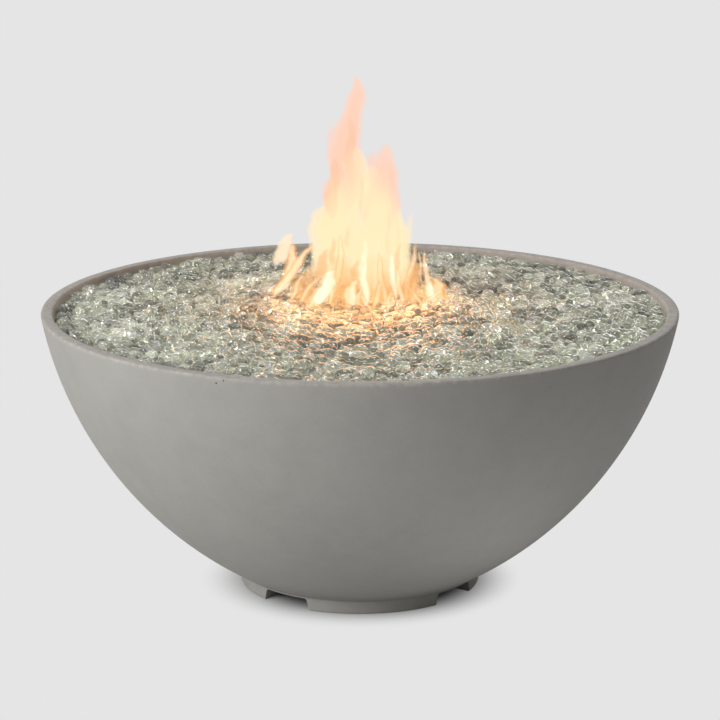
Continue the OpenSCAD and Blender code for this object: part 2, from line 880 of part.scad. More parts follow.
module inlet_locknut() {
    color(brass) translate([0, 0, floor_z + strap_t]) nut(inlet_hex_af, inlet_nut_t, union_r + seat / 2);
}

// Steel strap across the floor opening
module inlet_strap() {
    color(steel) translate([0, 0, floor_z]) linear_extrude(strap_t) difference() {
        rounded_rect(strap_l, strap_w, strap_corner);
        circle(union_r + seat);
        for (x = [-1, 1]) translate([x * strap_screw_x, 0]) circle(d = strap_screw_d + 2 * seat);
    }
}

module strap_screws() {
    color(steel) strap_screw_places() pan_head_screw(strap_screw_d, strap_screw_l, screw_head_h);
}

// Control panel and valve

module valve_screw_places() {
    for (y = [-1, 1]) translate([valve_x, y * valve_screw_off, panel_front]) children();
}

module control_panel() {
    color(steel) at_panel() difference() {
        translate([0, 0, panel_back]) linear_extrude(panel_t) difference() {
            rounded_rect(panel_w, panel_h, panel_corner);
            translate([valve_x, 0]) circle(stem_r + stem_clear);
            translate([igniter_offset, 0]) circle(barrel_r + seat);
            panel_screw_places() circle(panel_screw_d / 2 + seat);
            for (y = [-1, 1]) translate([valve_x, y * valve_screw_off]) circle(valve_screw_d / 2 + seat);
        }
        valve_screw_places() countersink(valve_screw_d, seat);
    }
}

module panel_screws() {
    color(steel) at_panel() panel_screw_places() translate([0, 0, panel_front])
        pan_head_screw(panel_screw_d, panel_t + anchor_l - cut, screw_head_h);
}

module panel_anchors() {
    color(brass) at_panel() panel_screw_places() translate([0, 0, panel_back - anchor_l]) difference() {
        cylinder(r = anchor_r - seat / 2, h = anchor_l);
        translate([0, 0, -cut]) cylinder(r = panel_screw_d / 2 + seat / 2, h = anchor_l + 2 * cut);
    }
}

module valve_bonnet() {
    color(brass) at_panel() difference() {
        translate([valve_x, 0, body_top]) cylinder(r = valve_r, h = bonnet_t);
        translate([valve_x, 0, body_top - cut]) cylinder(r = stem_r + run, h = bonnet_t + 2 * cut);
        valve_screw_places() translate([0, 0, -valve_screw_l])
            cylinder(d = valve_screw_d + 2 * seat, h = valve_screw_l);
    }
}

module valve_screws() {
    color(steel) at_panel() valve_screw_places() countersunk_screw(valve_screw_d, valve_screw_l);
}

// Round bar with a flat that keys it, grown by a clearance
module keyed_bar(l, grow = 0) {
    linear_extrude(l) intersection() {
        circle(stem_r + grow);
        translate([-stem_d, -stem_d]) square([2 * stem_d, stem_d + stem_flat + grow]);
    }
}

module valve_body() {
    color(brass) at_panel() translate([valve_x, 0, 0]) difference() {
        union() {
            translate([0, 0, body_low]) cylinder(r = valve_r, h = valve_l);
            translate([0, 0, port_z]) rotate([90, 0, 0]) cylinder(r = union_r, h = boss_l);
            translate([0, 0, port_z]) rotate([0, -90, 0]) cylinder(r = union_r, h = boss_l);
        }
        translate([0, 0, plug_low - run])
            cylinder(r1 = plug_r - plug_taper + run, r2 = plug_r + run, h = plug_l + run);
        translate([0, 0, plug_top - run]) cylinder(r = plug_r + run, h = body_top - plug_top + cut);
        translate([0, 0, body_low - cut]) cylinder(r = spigot_r + seat, h = plug_low - body_low + cut);
        translate([0, 0, port_z]) rotate([90, 0, 0]) cylinder(r = line_bore, h = boss_l + cut);
        translate([0, 0, port_z]) rotate([0, -90, 0]) cylinder(r = line_bore, h = boss_l + cut);
        for (y = [-1, 1]) translate([0, y * valve_screw_off, panel_front - valve_screw_l - cut])
            cylinder(d = valve_screw_d + 2 * seat, h = valve_screw_l);
    }
}

// Tapered plug that turns in the body and opens its ways
module valve_plug() {
    color(brass) at_panel() translate([valve_x, 0, 0]) difference() {
        translate([0, 0, plug_low]) cylinder(r1 = plug_r - plug_taper, r2 = plug_r, h = plug_l);
        translate([0, 0, plug_top - key_l]) keyed_bar(key_l + cut, run);
        translate([0, 0, port_z]) rotate([90, 0, 0]) cylinder(r = port_r, h = 2 * plug_r);
        translate([0, 0, port_z]) rotate([0, -90, 0]) cylinder(r = port_r, h = 2 * plug_r);
    }
}

module valve_stem() {
    low = plug_top - stem_in;
    high = knob_base + knob_bore_l - end_gap;
    color(steel) at_panel() translate([valve_x, 0, low]) keyed_bar(high - low);
}

// Spring between the bottom of the plug's bore and the stem
module stem_spring() {
    points = spring_points(stem_coil_r, stem_wire_r, stem_turns, stem_room);
    echo(stem_spring_gap = least_gap(points, stem_wire_r));
    color(steel) at_panel() translate([valve_x, 0, plug_top - key_l])
        swept_tube(points, [stem_wire_r], spring_sides);
}

module control_knob() {
    color(black) at_panel() translate([valve_x, 0, knob_base]) difference() {
        union() {
            cylinder(r1 = knob_d / 2, r2 = knob_d / 2 - knob_draft, h = skirt_h);
            cylinder(r1 = grip_d / 2, r2 = grip_d / 2 - knob_draft, h = knob_h);
            translate([-pointer_w / 2, 0, skirt_h / 2])
                cube([pointer_w, knob_d / 2 - pointer_in, knob_h - skirt_h / 2]);
        }
        translate([0, 0, -cut]) keyed_bar(knob_bore_l + cut, run);
    }
}

module safety_magnet() {
    color(steel) at_panel() translate([valve_x, 0, magnet_low]) {
        cylinder(d = magnet_d, h = magnet_l);
        cylinder(r = spigot_r, h = magnet_l + spigot_l);
    }
}

// Igniter

module igniter_barrel() {
    color(black) at_panel() translate([igniter_offset, 0, 0]) difference() {
        union() {
            translate([0, 0, panel_front]) cylinder(r1 = bezel_r, r2 = bezel_r - bezel_edge, h = bezel_h);
            translate([0, 0, barrel_low]) cylinder(r = barrel_r, h = panel_front - barrel_low);
        }
        translate([0, 0, cell_low]) cylinder(r = flange_r + run, h = bezel_z - lip_h - cell_low);
        translate([0, 0, cell_low]) cylinder(r = button_r + run, h = bezel_z - cell_low + cut);
    }
}

module igniter_nut() {
    color(steel) at_panel() translate([igniter_offset, 0, panel_back - igniter_nut_t])
        nut(igniter_nut_af, igniter_nut_t, barrel_r + seat);
}

module igniter_button() {
    shank = bezel_z + button_out - button_low - button_edge;
    color(steel) at_panel() translate([igniter_offset, 0, button_low]) {
        cylinder(r = flange_r, h = flange_h);
        cylinder(r = button_r, h = shank);
        translate([0, 0, shank]) cylinder(r1 = button_r, r2 = button_r - button_edge, h = button_edge);
    }
}

// Spring between the battery and the button
module button_spring() {
    points = spring_points(button_coil_r, button_wire_r, button_turns, button_room);
    echo(button_spring_gap = least_gap(points, button_wire_r));
    color(steel) at_panel() translate([igniter_offset, 0, cell_top])
        swept_tube(points, [button_wire_r], spring_sides);
}

module igniter_battery() {
    color(black) at_panel() translate([igniter_offset, 0, cell_low]) {
        translate([0, 0, cell_nub_h]) cylinder(d = cell_d, h = cell_l - cell_nub_h);
        cylinder(r = cell_nub_r, h = cell_l);
    }
}

module ignition_wire() {
    color(black) swept_line(wire_route, wire_bend, 3 * wire_r, [wire_r], 8);
}

// Pilot pieces in the well

module pilot_bracket() {
    half = pilot_w / 2;
    color(steel) difference() {
        translate([0, pilot_y + pilot_d / 2, well_z]) rotate([90, 0, 0]) linear_extrude(pilot_d) {
            translate([-half, pilot_h - pilot_t]) square([pilot_w, pilot_t]);
            for (side = [-1, 1]) {
                translate([side * (half - pilot_t / 2) - pilot_t / 2, 0]) square([pilot_t, pilot_h]);
                translate([side * (half + pilot_tab / 2) - pilot_tab / 2 - (side > 0 ? pilot_t : 0), 0])
                    square([pilot_tab + pilot_t, pilot_t]);
            }
        }
        translate([-pilot_x, pilot_y, well_z]) cylinder(r = ceramic_r + seat, h = 2 * pilot_h);
        translate([pilot_x, pilot_y, well_z]) cylinder(r = probe_r + seat, h = 2 * pilot_h);
        pilot_screw_places() translate([0, 0, -pilot_t - cut])
            cylinder(d = pilot_screw_d + 2 * seat, h = pilot_t + 2 * cut);
    }
}

module pilot_screws() {
    color(steel) pilot_screw_places()
        pan_head_screw(pilot_screw_d, pilot_t + pan_t + pilot_nut_t + screw_end, screw_head_h);
}

module pilot_nuts() {
    color(steel) pilot_screw_places() translate([0, 0, -pilot_t - pan_t - pilot_nut_t])
        nut(pilot_screw_d + small_nut_grip, pilot_nut_t, pilot_screw_d / 2 + seat / 2);
}

module electrode_ceramic() {
    color(ceramic) translate([-pilot_x, pilot_y, 0]) difference() {
        union() {
            translate([0, 0, pilot_low]) cylinder(r = ceramic_r, h = burner_z - pilot_low);
            translate([0, 0, pilot_z]) cylinder(r = ceramic_r + collar_w, h = collar_h);
        }
        translate([0, 0, pilot_low - cut]) cylinder(r = rod_r + run, h = burner_z - pilot_low + 2 * cut);
    }
}

module electrode_rod() {
    color(steel) translate([-pilot_x, pilot_y, rod_low]) cylinder(r = rod_r, h = pilot_top - rod_low);
}

module thermocouple() {
    color(copper) translate([pilot_x, pilot_y, 0]) {
        translate([0, 0, pilot_low]) cylinder(r = probe_r, h = burner_z - pilot_low);
        translate([0, 0, pilot_z]) cylinder(r = probe_r + collar_w, h = collar_h);
        translate([0, 0, burner_z])
            cylinder(r1 = probe_r, r2 = probe_tip_r, h = pilot_top - burner_z - probe_short);
    }
}

module thermocouple_lead() {
    color(copper) swept_line(lead_route, wire_bend, 4 * lead_r, [lead_r], 8);
}

// Fire glass

// Room that the glass leaves for the burner: channels, open below, round its rings, spokes and hub
module burner_room() {
    low = well_z - cut;
    ring_w = burner_tube + 2 * burner_gap;
    spoke_w = spoke_tube + 2 * burner_gap;
    translate([0, 0, low]) {
        for (r = [outer_ring_r, inner_ring_r]) rotate_extrude($fn = arc_fn)
            translate([r - ring_w / 2, 0]) square([ring_w, burner_z + ring_w / 2 - low]);
        for (a = [0 : 90 : 270]) rotate([0, 0, a]) translate([0, -spoke_w / 2, 0])
            cube([outer_ring_r, spoke_w, burner_z + spoke_w / 2 - low]);
        cylinder(r = max(hub_r, nut_af / sqrt(3)) + burner_gap, h = hub_z + hub_h + burner_gap - low);
    }
}

// Bed of glass: it fills the well round the burner and covers the shelf
module fire_glass() {
    low_r = well_r - well_depth * tan(well_draft);
    color(glass) difference() {
        rotate_extrude($fn = arc_fn) polygon([
            [0, well_z + glass_gap], [low_r - glass_gap, well_z + glass_gap],
            [well_r - glass_gap, shelf_z + glass_gap], [bed_r, shelf_z + glass_gap],
            [bed_r, bed_z], [0, bed_z]]);
        burner_room();
        leg_places() translate([-leg_w / 2 - burner_gap, -leg_t / 2 - burner_gap, -cut])
            cube([leg_w + 2 * burner_gap, leg_tab + leg_t / 2 + 2 * burner_gap, burner_lift + cut]);
        translate([-pilot_w / 2 - pilot_tab - burner_gap, pilot_y - pilot_d / 2 - burner_gap, well_z - cut])
            cube([pilot_w + 2 * (pilot_tab + burner_gap), pilot_d + 2 * burner_gap,
                pilot_top - well_z + 2 * cut]);
    }
}

// Top layer of gems: rings of hollows on the bed, and a gem's crown in the middle of each three hollows
function ring_first(k) = k == 0 ? 0 : 1 + 3 * k * (k - 1);
function ring_count(k) = max(1, 6 * k);
function hollow_index(k, j) = ring_first(k) + j % ring_count(k);

hollow_count = ring_first(gem_rings + 1);
hollow_lift = rands(0.5, 1, hollow_count, 11);
hollow_shift = rands(-0.16, 0.16, hollow_count, 12);

function hollow_point(k, j) =
    let (i = hollow_index(k, j),
        edge = k == gem_rings,
        r = (k + (edge ? 0 : hollow_shift[i])) * gem_step,
        a = (j + (edge ? 0 : hollow_shift[hollow_count - 1 - i])) * 360 / ring_count(k))
    [r * cos(a), r * sin(a), bed_z + gem_base * hollow_lift[i]];

module glass_gems() {
    hollows = [for (k = [0 : gem_rings]) for (j = [0 : ring_count(k) - 1]) hollow_point(k, j)];
    outward = [for (k = [0 : gem_rings - 1]) for (s = [0 : 5]) for (i = [0 : k])
        [hollow_index(k, s * k + i), hollow_index(k + 1, s * (k + 1) + i + 1),
            hollow_index(k + 1, s * (k + 1) + i)]];
    inward = [for (k = [1 : gem_rings - 1]) for (s = [0 : 5]) for (i = [0 : k - 1])
        [hollow_index(k, s * k + i), hollow_index(k, s * k + i + 1),
            hollow_index(k + 1, s * (k + 1) + i + 1)]];
    gems = concat(outward, inward);
    lift = rands(0.6, 1, len(gems), 13);
    lean = rands(-gem_lean, gem_lean, 2 * len(gems), 14);
    crowns = [for (i = [0 : len(gems) - 1])
        let (middle = (hollows[gems[i][0]] + hollows[gems[i][1]] + hollows[gems[i][2]]) / 3)
        [middle.x + lean[2 * i], middle.y + lean[2 * i + 1], bed_z + gem_crown * lift[i]]];
    facets = [for (i = [0 : len(gems) - 1]) for (s = [0 : 2])
        [gems[i][s], gems[i][(s + 1) % 3], hollow_count + i]];
    edge_count = ring_count(gem_rings);
    first_low = hollow_count + len(gems);
    low = [for (j = [0 : edge_count - 1])
        [gem_r * cos(j * 360 / edge_count), gem_r * sin(j * 360 / edge_count), bed_z]];
    sides = [for (j = [0 : edge_count - 1])
        [hollow_index(gem_rings, j), hollow_index(gem_rings, j + 1),
            first_low + (j + 1) % edge_count, first_low + j]];
    floor_face = [for (j = [0 : edge_count - 1]) first_low + j];
    color(glass) polyhedron(concat(hollows, crowns, low), concat(facets, sides, [floor_face]));
}

bowl();
burner_pan();
pan_screws();
burner();
burner_legs();
leg_screws();
leg_nuts();
gas_nipple();
nipple_locknuts();
feed_elbow();
air_mixer();
gas_orifice();
flex_line();
supply_line();
union_nuts();
inlet_fitting();
inlet_locknut();
inlet_strap();
strap_screws();
control_panel();
panel_screws();
panel_anchors();
valve_bonnet();
valve_screws();
valve_body();
valve_plug();
stem_spring();
valve_stem();
control_knob();
safety_magnet();
igniter_barrel();
igniter_nut();
igniter_button();
button_spring();
igniter_battery();
ignition_wire();
pilot_bracket();
pilot_screws();
pilot_nuts();
electrode_ceramic();
electrode_rod();
thermocouple();
thermocouple_lead();
fire_glass();
glass_gems();
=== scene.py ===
"""Looks of a gas fire pit bowl: a cast concrete bowl of clear glass gems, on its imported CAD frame."""

import json
import math

import bmesh
import bpy
import numpy as np
from bpy.props import FloatProperty, FloatVectorProperty, IntProperty, PointerProperty
from mathutils import Matrix, Vector


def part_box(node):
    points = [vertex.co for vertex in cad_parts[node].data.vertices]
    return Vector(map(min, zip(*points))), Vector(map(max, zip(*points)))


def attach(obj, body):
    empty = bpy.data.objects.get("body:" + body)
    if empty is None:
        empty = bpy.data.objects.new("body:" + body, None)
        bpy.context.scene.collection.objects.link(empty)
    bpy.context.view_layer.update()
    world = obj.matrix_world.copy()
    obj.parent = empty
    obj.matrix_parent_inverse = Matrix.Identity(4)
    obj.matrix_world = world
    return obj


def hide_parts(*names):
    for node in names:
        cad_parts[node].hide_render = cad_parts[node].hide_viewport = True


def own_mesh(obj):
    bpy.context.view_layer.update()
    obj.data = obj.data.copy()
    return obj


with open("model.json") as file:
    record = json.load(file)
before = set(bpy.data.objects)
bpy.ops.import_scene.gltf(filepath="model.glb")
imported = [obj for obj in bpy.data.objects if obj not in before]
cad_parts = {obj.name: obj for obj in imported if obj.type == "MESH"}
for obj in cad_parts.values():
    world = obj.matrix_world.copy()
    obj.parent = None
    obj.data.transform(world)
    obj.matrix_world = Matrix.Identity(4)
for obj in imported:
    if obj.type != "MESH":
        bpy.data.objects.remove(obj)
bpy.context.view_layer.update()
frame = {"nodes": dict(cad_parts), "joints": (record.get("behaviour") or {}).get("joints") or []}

bl_info = {
    "name": "Gas fire pit bowl",
    "version": (1, 0, 0),
    "blender": (4, 5, 0),
    "location": "3D View > Sidebar > Fire bowl",
    "description": "Dresses the CAD frame of a gas fire pit bowl and sets up its picture",
    "category": "Object",
}

BASE = "base"
TURN = 2 * math.pi
PANEL_JOINT = next(j for j in frame["joints"] if j["name"] == "valve_turn")
PANEL_OUT = Vector(PANEL_JOINT["axis"]).normalized()


def hex_colour(code):
    """Linear colour of an sRGB hex value such as #a09c94."""
    channels = [int(code[i:i + 2], 16) / 255 for i in (1, 3, 5)]
    return tuple(c / 12.92 if c <= 0.04045 else ((c + 0.055) / 1.055) ** 2.4 for c in channels)


def length(name, metres, description):
    """A length that a user may change."""
    return FloatProperty(name=name, description=description, default=metres, unit="LENGTH")


def degrees(name, value, description):
    """An angle that a user may change."""
    return FloatProperty(name=name, description=description, default=math.radians(value), unit="ROTATION")


def ratio(name, share, description):
    """A share that a user may change."""
    return FloatProperty(name=name, description=description, default=share, subtype="FACTOR")


def tint(name, code, description):
    """A colour that a user may change."""
    return FloatVectorProperty(name=name, description=description, default=hex_colour(code), subtype="COLOR")


class CastBowlSizes(bpy.types.PropertyGroup):
    """Sizes of the cast bowl."""

    height: length("Height", 0.476, "Height of the rim")
    rim_radius: length("Rim radius", 0.5334, "Outer radius of the rim")
    side_radius: length("Side arc", 0.647, "Radius of the arc that the side follows")
    wall: length("Wall", 0.019, "Thickness of the cast wall")
    foot_radius: length("Foot radius", 0.203, "Outer radius of the foot ring")
    foot_width: length("Foot width", 0.029, "Width of the foot ring")
    foot_height: length("Foot height", 0.022, "Height of the foot ring")
    notch_width: length("Notch width", 0.094, "Width of a foot notch at the ground")
    notch_height: length("Notch height", 0.020, "Height of a foot notch")
    notch_draft: degrees("Notch draft", 13, "Lean of a notch's sides")
    floor_height: length("Floor", 0.054, "Height of the floor inside")
    opening_radius: length("Service opening", 0.065, "Radius of the hole in the floor")
    ledge_height: length("Ledge height", 0.430, "Height of the ledge that carries the pan")
    ledge_radius: length("Ledge radius", 0.4696, "Inner radius of that ledge")
    edge: length("Edge", 0.0026, "Rounding of the cast edges")
    rim_edge: length("Rim edge", 0.005, "Rounding of the rim's outer edge")
    steps: IntProperty(
        name="Steps", description="Segments round the bowl", default=256, min=64, max=320)


class GlassFillSizes(bpy.types.PropertyGroup):
    """Sizes of the glass gems and of the bed under them."""

    gem_width: length("Gem width", 0.0174, "Middle width of a gem")
    gem_spread: ratio("Gem spread", 0.20, "Spread of the widths, as a share")
    gem_flatness: ratio("Gem flatness", 0.76, "Height of a gem as a share of its width")
    bed_top: length("Bed top", 0.4455, "Height of the bed under the loose gems")
    lower_share: ratio("Lower gems", 1.15, "Gems in the lower layer for each gem on top")
    infill_share: ratio("Small gems", 0.9, "Small gems in the gaps for each gem on top")
    proud_share: ratio("Proud gems", 0.16, "Gems that stand out of the top for each gem on top")
    seed: IntProperty(
        name="Seed", description="Start of the random draws", default=7)


class ControlSizes(bpy.types.PropertyGroup):
    """Sizes of the control knob."""

    knob_width: length("Knob width", 0.042, "Width of the knob's skirt")
    grip_width: length("Grip width", 0.031, "Width of the knob's grip")
    knob_height: length("Knob height", 0.022, "Height of the knob")
    skirt_height: length("Skirt height", 0.004, "Height of the knob's skirt")
    pointer_width: length("Pointer width", 0.004, "Width of the fin that points")
    stem_width: length("Stem width", 0.008, "Width of the stem in the knob")
    flutes: IntProperty(
        name="Flutes", description="Flutes round the grip", default=18, min=8, max=36)


class FinishColours(bpy.types.PropertyGroup):
    """Colours of the visible finishes."""

    concrete: tint("Concrete", "#9a9893", "Cast concrete")
    glass: tint("Glass", "#f2f4ea", "Tint of the glass gems")
    backdrop: tint("Backdrop", "#e5e5e5", "Floor and background")


class StageSizes(bpy.types.PropertyGroup):
    """Camera and flame of the picture."""

    camera_turn: degrees("Camera turn", 38.0, "Turn of the camera round the bowl")
    camera_pitch: degrees("Camera pitch", 13.86, "How far the camera looks down")
    camera_reach: length("Camera reach", 4.703, "Ground distance of the camera")
    camera_height: length("Camera height", 1.542, "Height of the camera")
    lens: FloatProperty(
        name="Lens", description="Focal length on a 36 mm sensor, in mm", default=143.7)


class FireBowlSettings(bpy.types.PropertyGroup):
    """All settings of the fire bowl."""

    bowl: PointerProperty(type=CastBowlSizes)
    glass: PointerProperty(type=GlassFillSizes)
    controls: PointerProperty(type=ControlSizes)
    colours: PointerProperty(type=FinishColours)
    stage: PointerProperty(type=StageSizes)


def settings():
    """The settings on the scene."""
    return bpy.context.scene.fire_bowl


# Selection and modelling helpers

def clear_selection():
    """Go to object mode with nothing selected."""
    if bpy.context.object is not None and bpy.context.object.mode != "OBJECT":
        bpy.ops.object.mode_set(mode="OBJECT")
    bpy.ops.object.select_all(action="DESELECT")


def select_only(*objs):
    """Select these objects alone, the first as the active one."""
    clear_selection()
    for obj in objs:
        obj.select_set(True)
    bpy.context.view_layer.objects.active = objs[0]


def named(name):
    """Name the active object and its mesh, and return it."""
    obj = bpy.context.object
    obj.name = name
    obj.data.name = name
    return obj


def settle(obj):
    """Put the object's place into its mesh."""
    select_only(obj)
    bpy.ops.object.transform_apply(location=True, rotation=True, scale=True)
    return obj


def finish_with(obj, kind, **values):
    """Add a modifier with these values and apply it."""
    select_only(obj)
    bpy.ops.object.modifier_add(type=kind)
    modifier = obj.modifiers[-1]
    for key, value in values.items():
        setattr(modifier, key, value)
    bpy.ops.object.modifier_apply(modifier=modifier.name)


def cut_away(obj, tool):
    """Cut the tool's form out of the object, and remove the tool."""
    finish_with(obj, "BOOLEAN", operation="DIFFERENCE", solver="EXACT", object=tool)
    bpy.data.objects.remove(tool)


def edit_all():
    """Go to edit mode with all of the active mesh selected."""
    bpy.ops.object.mode_set(mode="EDIT")
    bpy.ops.mesh.select_all(action="SELECT")


def leave_edit():
    """Go back to object mode."""
    bpy.ops.object.mode_set(mode="OBJECT")


def block(name, size, place):
    """Add a block of a size with its middle at a place."""
    clear_selection()
    bpy.ops.mesh.primitive_cube_add(size=1)
    obj = named(name)
    obj.scale = size
    obj.location = place
    return settle(obj)


def round_edges(obj, wanted, radius, segments, **options):
    """Bevel the edges for which wanted(edge) is true."""
    select_only(obj)
    bpy.ops.object.mode_set(mode="EDIT")
    bpy.ops.mesh.select_mode(type="EDGE")
    bpy.ops.mesh.select_all(action="DESELECT")
    mesh = bmesh.from_edit_mesh(obj.data)
    for edge in mesh.edges:
        if wanted(edge):
            edge.select_set(True)
    bmesh.update_edit_mesh(obj.data)
    bpy.ops.mesh.bevel(offset=radius, segments=segments, affect="EDGES", **options)
    leave_edit()


def pick_top(obj):
    """Go to edit mode with the faces selected that look up."""
    bpy.ops.object.mode_set(mode="EDIT")
    bpy.ops.mesh.select_mode(type="FACE")
    bpy.ops.mesh.select_all(action="DESELECT")
    mesh = bmesh.from_edit_mesh(obj.data)
    for face in mesh.faces:
        face.select_set(face.normal.z > 0.9)
    bmesh.update_edit_mesh(obj.data)


def tidy_mesh(obj, angle=30):
    """Merge doubles, turn all faces outwards and shade by angle."""
    select_only(obj)
    edit_all()
    bpy.ops.mesh.remove_doubles(threshold=1e-6)
    bpy.ops.mesh.normals_make_consistent(inside=False)
    leave_edit()
    bpy.ops.object.shade_smooth_by_angle(angle=math.radians(angle))


def fillet(corners):
    """Points of a closed line of (r, z, rounding) corners, each corner rounded by its radius."""
    points = []
    for i, (r, z, rounding) in enumerate(corners):
        here = Vector((r, z))
        if rounding <= 0:
            points.append(here)
            continue
        back = Vector(corners[i - 1][:2]) - here
        onward = Vector(corners[(i + 1) % len(corners)][:2]) - here
        half = back.angle(onward) / 2
        reach = min(rounding / math.tan(half), back.length * 0.45, onward.length * 0.45)
        start = here + back.normalized() * reach
        end = here + onward.normalized() * reach
        for t in (0, 0.25, 0.5, 0.75, 1):
            points.append(start.lerp(here, t).lerp(here.lerp(end, t), t))
    return points


def turned(name, section, steps):
    """Draw a closed section of (r, z) points by extruding a vertex, and spin it round the Z axis."""
    clear_selection()
    first = section[0]
    bpy.ops.mesh.primitive_plane_add(size=0.001, location=(first[0], 0, first[1]))
    obj = settle(named(name))
    bpy.ops.object.mode_set(mode="EDIT")
    bpy.ops.mesh.select_mode(type="VERT")
    bpy.ops.mesh.select_all(action="SELECT")
    bpy.ops.mesh.merge(type="CENTER")
    for a, b in zip(section, section[1:] + section[:1]):
        step = (b[0] - a[0], 0, b[1] - a[1])
        bpy.ops.mesh.extrude_vertices_move(TRANSFORM_OT_translate={"value": step})
    bpy.ops.mesh.select_all(action="SELECT")
    bpy.ops.mesh.remove_doubles(threshold=1e-6)
    bpy.ops.mesh.spin(steps=steps, angle=TURN, center=(0, 0, 0), axis=(0, 0, 1))
    leave_edit()
    tidy_mesh(obj)
    return obj


# Material helpers

def add_node(tree, kind, links=None, **values):
    """Add a node, set its properties and sockets by name, and link sockets from (node, output) pairs."""
    node = tree.nodes.new(kind)
    for key, value in values.items():
        if hasattr(node, key):
            setattr(node, key, value)
        else:
            node.inputs[key.replace("_", " ")].default_value = value
    for key, (source, output) in (links or {}).items():
        target = node.inputs[key] if isinstance(key, int) else node.inputs[key.replace("_", " ")]
        tree.links.new(source.outputs[output], target)
    return node


def noise(tree, place, scale, detail, roughness=0.5):
    """Noise in the object's own axes, with a scale of about one over its grain in metres."""
    return add_node(tree, "ShaderNodeTexNoise", {"Vector": (place, "Object")},
                    Scale=scale, Detail=detail, Roughness=roughness)


def skin(tree, output, links, **values):
    """Give a material one principled surface."""
    surface = add_node(tree, "ShaderNodeBsdfPrincipled", links, **values)
    tree.links.new(surface.outputs["BSDF"], output.inputs["Surface"])


def new_material(name):
    """A material with an empty tree and its output node."""
    material = bpy.data.materials.new(name)
    material.use_nodes = True
    tree = material.node_tree
    tree.nodes.clear()
    return material, tree, tree.nodes.new("ShaderNodeOutputMaterial")


def ramp(tree, source, output, *stops):
    """A colour ramp on a node's output, with stops from (position, linear colour) pairs."""
    node = add_node(tree, "ShaderNodeValToRGB", {"Fac": (source, output)})
    elements = node.color_ramp.elements
    while len(elements) < len(stops):
        elements.new(0.5)
    for element, (position, colour) in zip(elements, stops):
        element.position = position
        element.color = (*colour, 1)
    return node


def spread(tree, source, low, high, least, most):
    """A noise's share from low to high, mapped to a value from least to most."""
    return add_node(tree, "ShaderNodeMapRange", {"Value": (source, "Fac")},
                    From_Min=low, From_Max=high, To_Min=least, To_Max=most)


def relief(tree, source, strength, distance):
    """Bump from a noise, of a strength and a height in metres."""
    return add_node(tree, "ShaderNodeBump", {"Height": (source, "Fac")}, Strength=strength, Distance=distance)


def shade(colour, factor):
    """A colour made lighter or darker."""
    return tuple(c * factor for c in colour)


def cast_concrete():
    """Cast glass-fibre concrete: matt, faintly clouded, with fine grit and few pinholes, and a paler rim that
    is partly wear and partly painted highlight.
    """
    colour = tuple(settings().colours.concrete)
    material, tree, output = new_material("cast_concrete")
    place = add_node(tree, "ShaderNodeTexCoord")
    # Clouds of about 120 mm, where the mould released unevenly
    clouds = noise(tree, place, 8.0, 4.0, 0.55)
    # Soft streaks of about 35 mm
    streaks = noise(tree, place, 28.0, 5.0, 0.6)
    # Grit of about 2 mm
    grit = noise(tree, place, 480.0, 3.0, 0.6)
    mixed = add_node(tree, "ShaderNodeMix", {2: (clouds, "Fac"), 3: (streaks, "Fac")}, data_type="FLOAT",
                     Factor=0.4)
    tone = ramp(tree, mixed, 0, (0.32, shade(colour, 0.93)), (0.5, colour), (0.68, shade(colour, 1.05)))
    speck = ramp(tree, grit, "Fac", (0.30, (0.90, 0.90, 0.89)), (0.48, (1, 1, 1)), (0.75, (1.03, 1.03, 1.03)))
    dusted = add_node(tree, "ShaderNodeMix", {6: (tone, "Color"), 7: (speck, "Color")},
                      data_type="RGBA", blend_type="MULTIPLY", Factor=0.8)
    # The rim is paler in patches of about 10 mm: partly rubbed wear, partly a painted highlight and painted
    # warm flame light on the rim's top and outer edge
    height = add_node(tree, "ShaderNodeSeparateXYZ", {"Vector": (place, "Object")})
    top = add_node(tree, "ShaderNodeMapRange", {"Value": (height, "Z")}, interpolation_type="SMOOTHSTEP",
                   From_Min=settings().bowl.height - 0.009, From_Max=settings().bowl.height - 0.001)
    patches = noise(tree, place, 100.0, 4.0, 0.65)
    rim_patches = spread(tree, patches, 0.38, 0.66, 0, 0.75)
    rim_wear_and_highlight = add_node(tree, "ShaderNodeMath", {0: (top, "Result"), 1: (rim_patches, "Result")}, operation="MULTIPLY")
    worn_and_lit = add_node(tree, "ShaderNodeMix", {0: (rim_wear_and_highlight, 0), 6: (dusted, 2)}, data_type="RGBA")
    # Pale warm grey of the rim: wear, plus painted highlight and painted flame light
    worn_and_lit.inputs[7].default_value = (*hex_colour("#b8b0a8"), 1)
    rough = spread(tree, clouds, 0.3, 0.7, 0.66, 0.80)
    soft = relief(tree, streaks, 0.10, 0.0015)
    grain = add_node(tree, "ShaderNodeBump", {"Height": (grit, "Fac"), "Normal": (soft, "Normal")},
                     Strength=0.16, Distance=0.0006)
    skin(tree, output, {"Base_Color": (worn_and_lit, 2), "Roughness": (rough, "Result"), "Normal": (grain, "Normal")},
         IOR=1.5, Specular_IOR_Level=0.35)
    return material


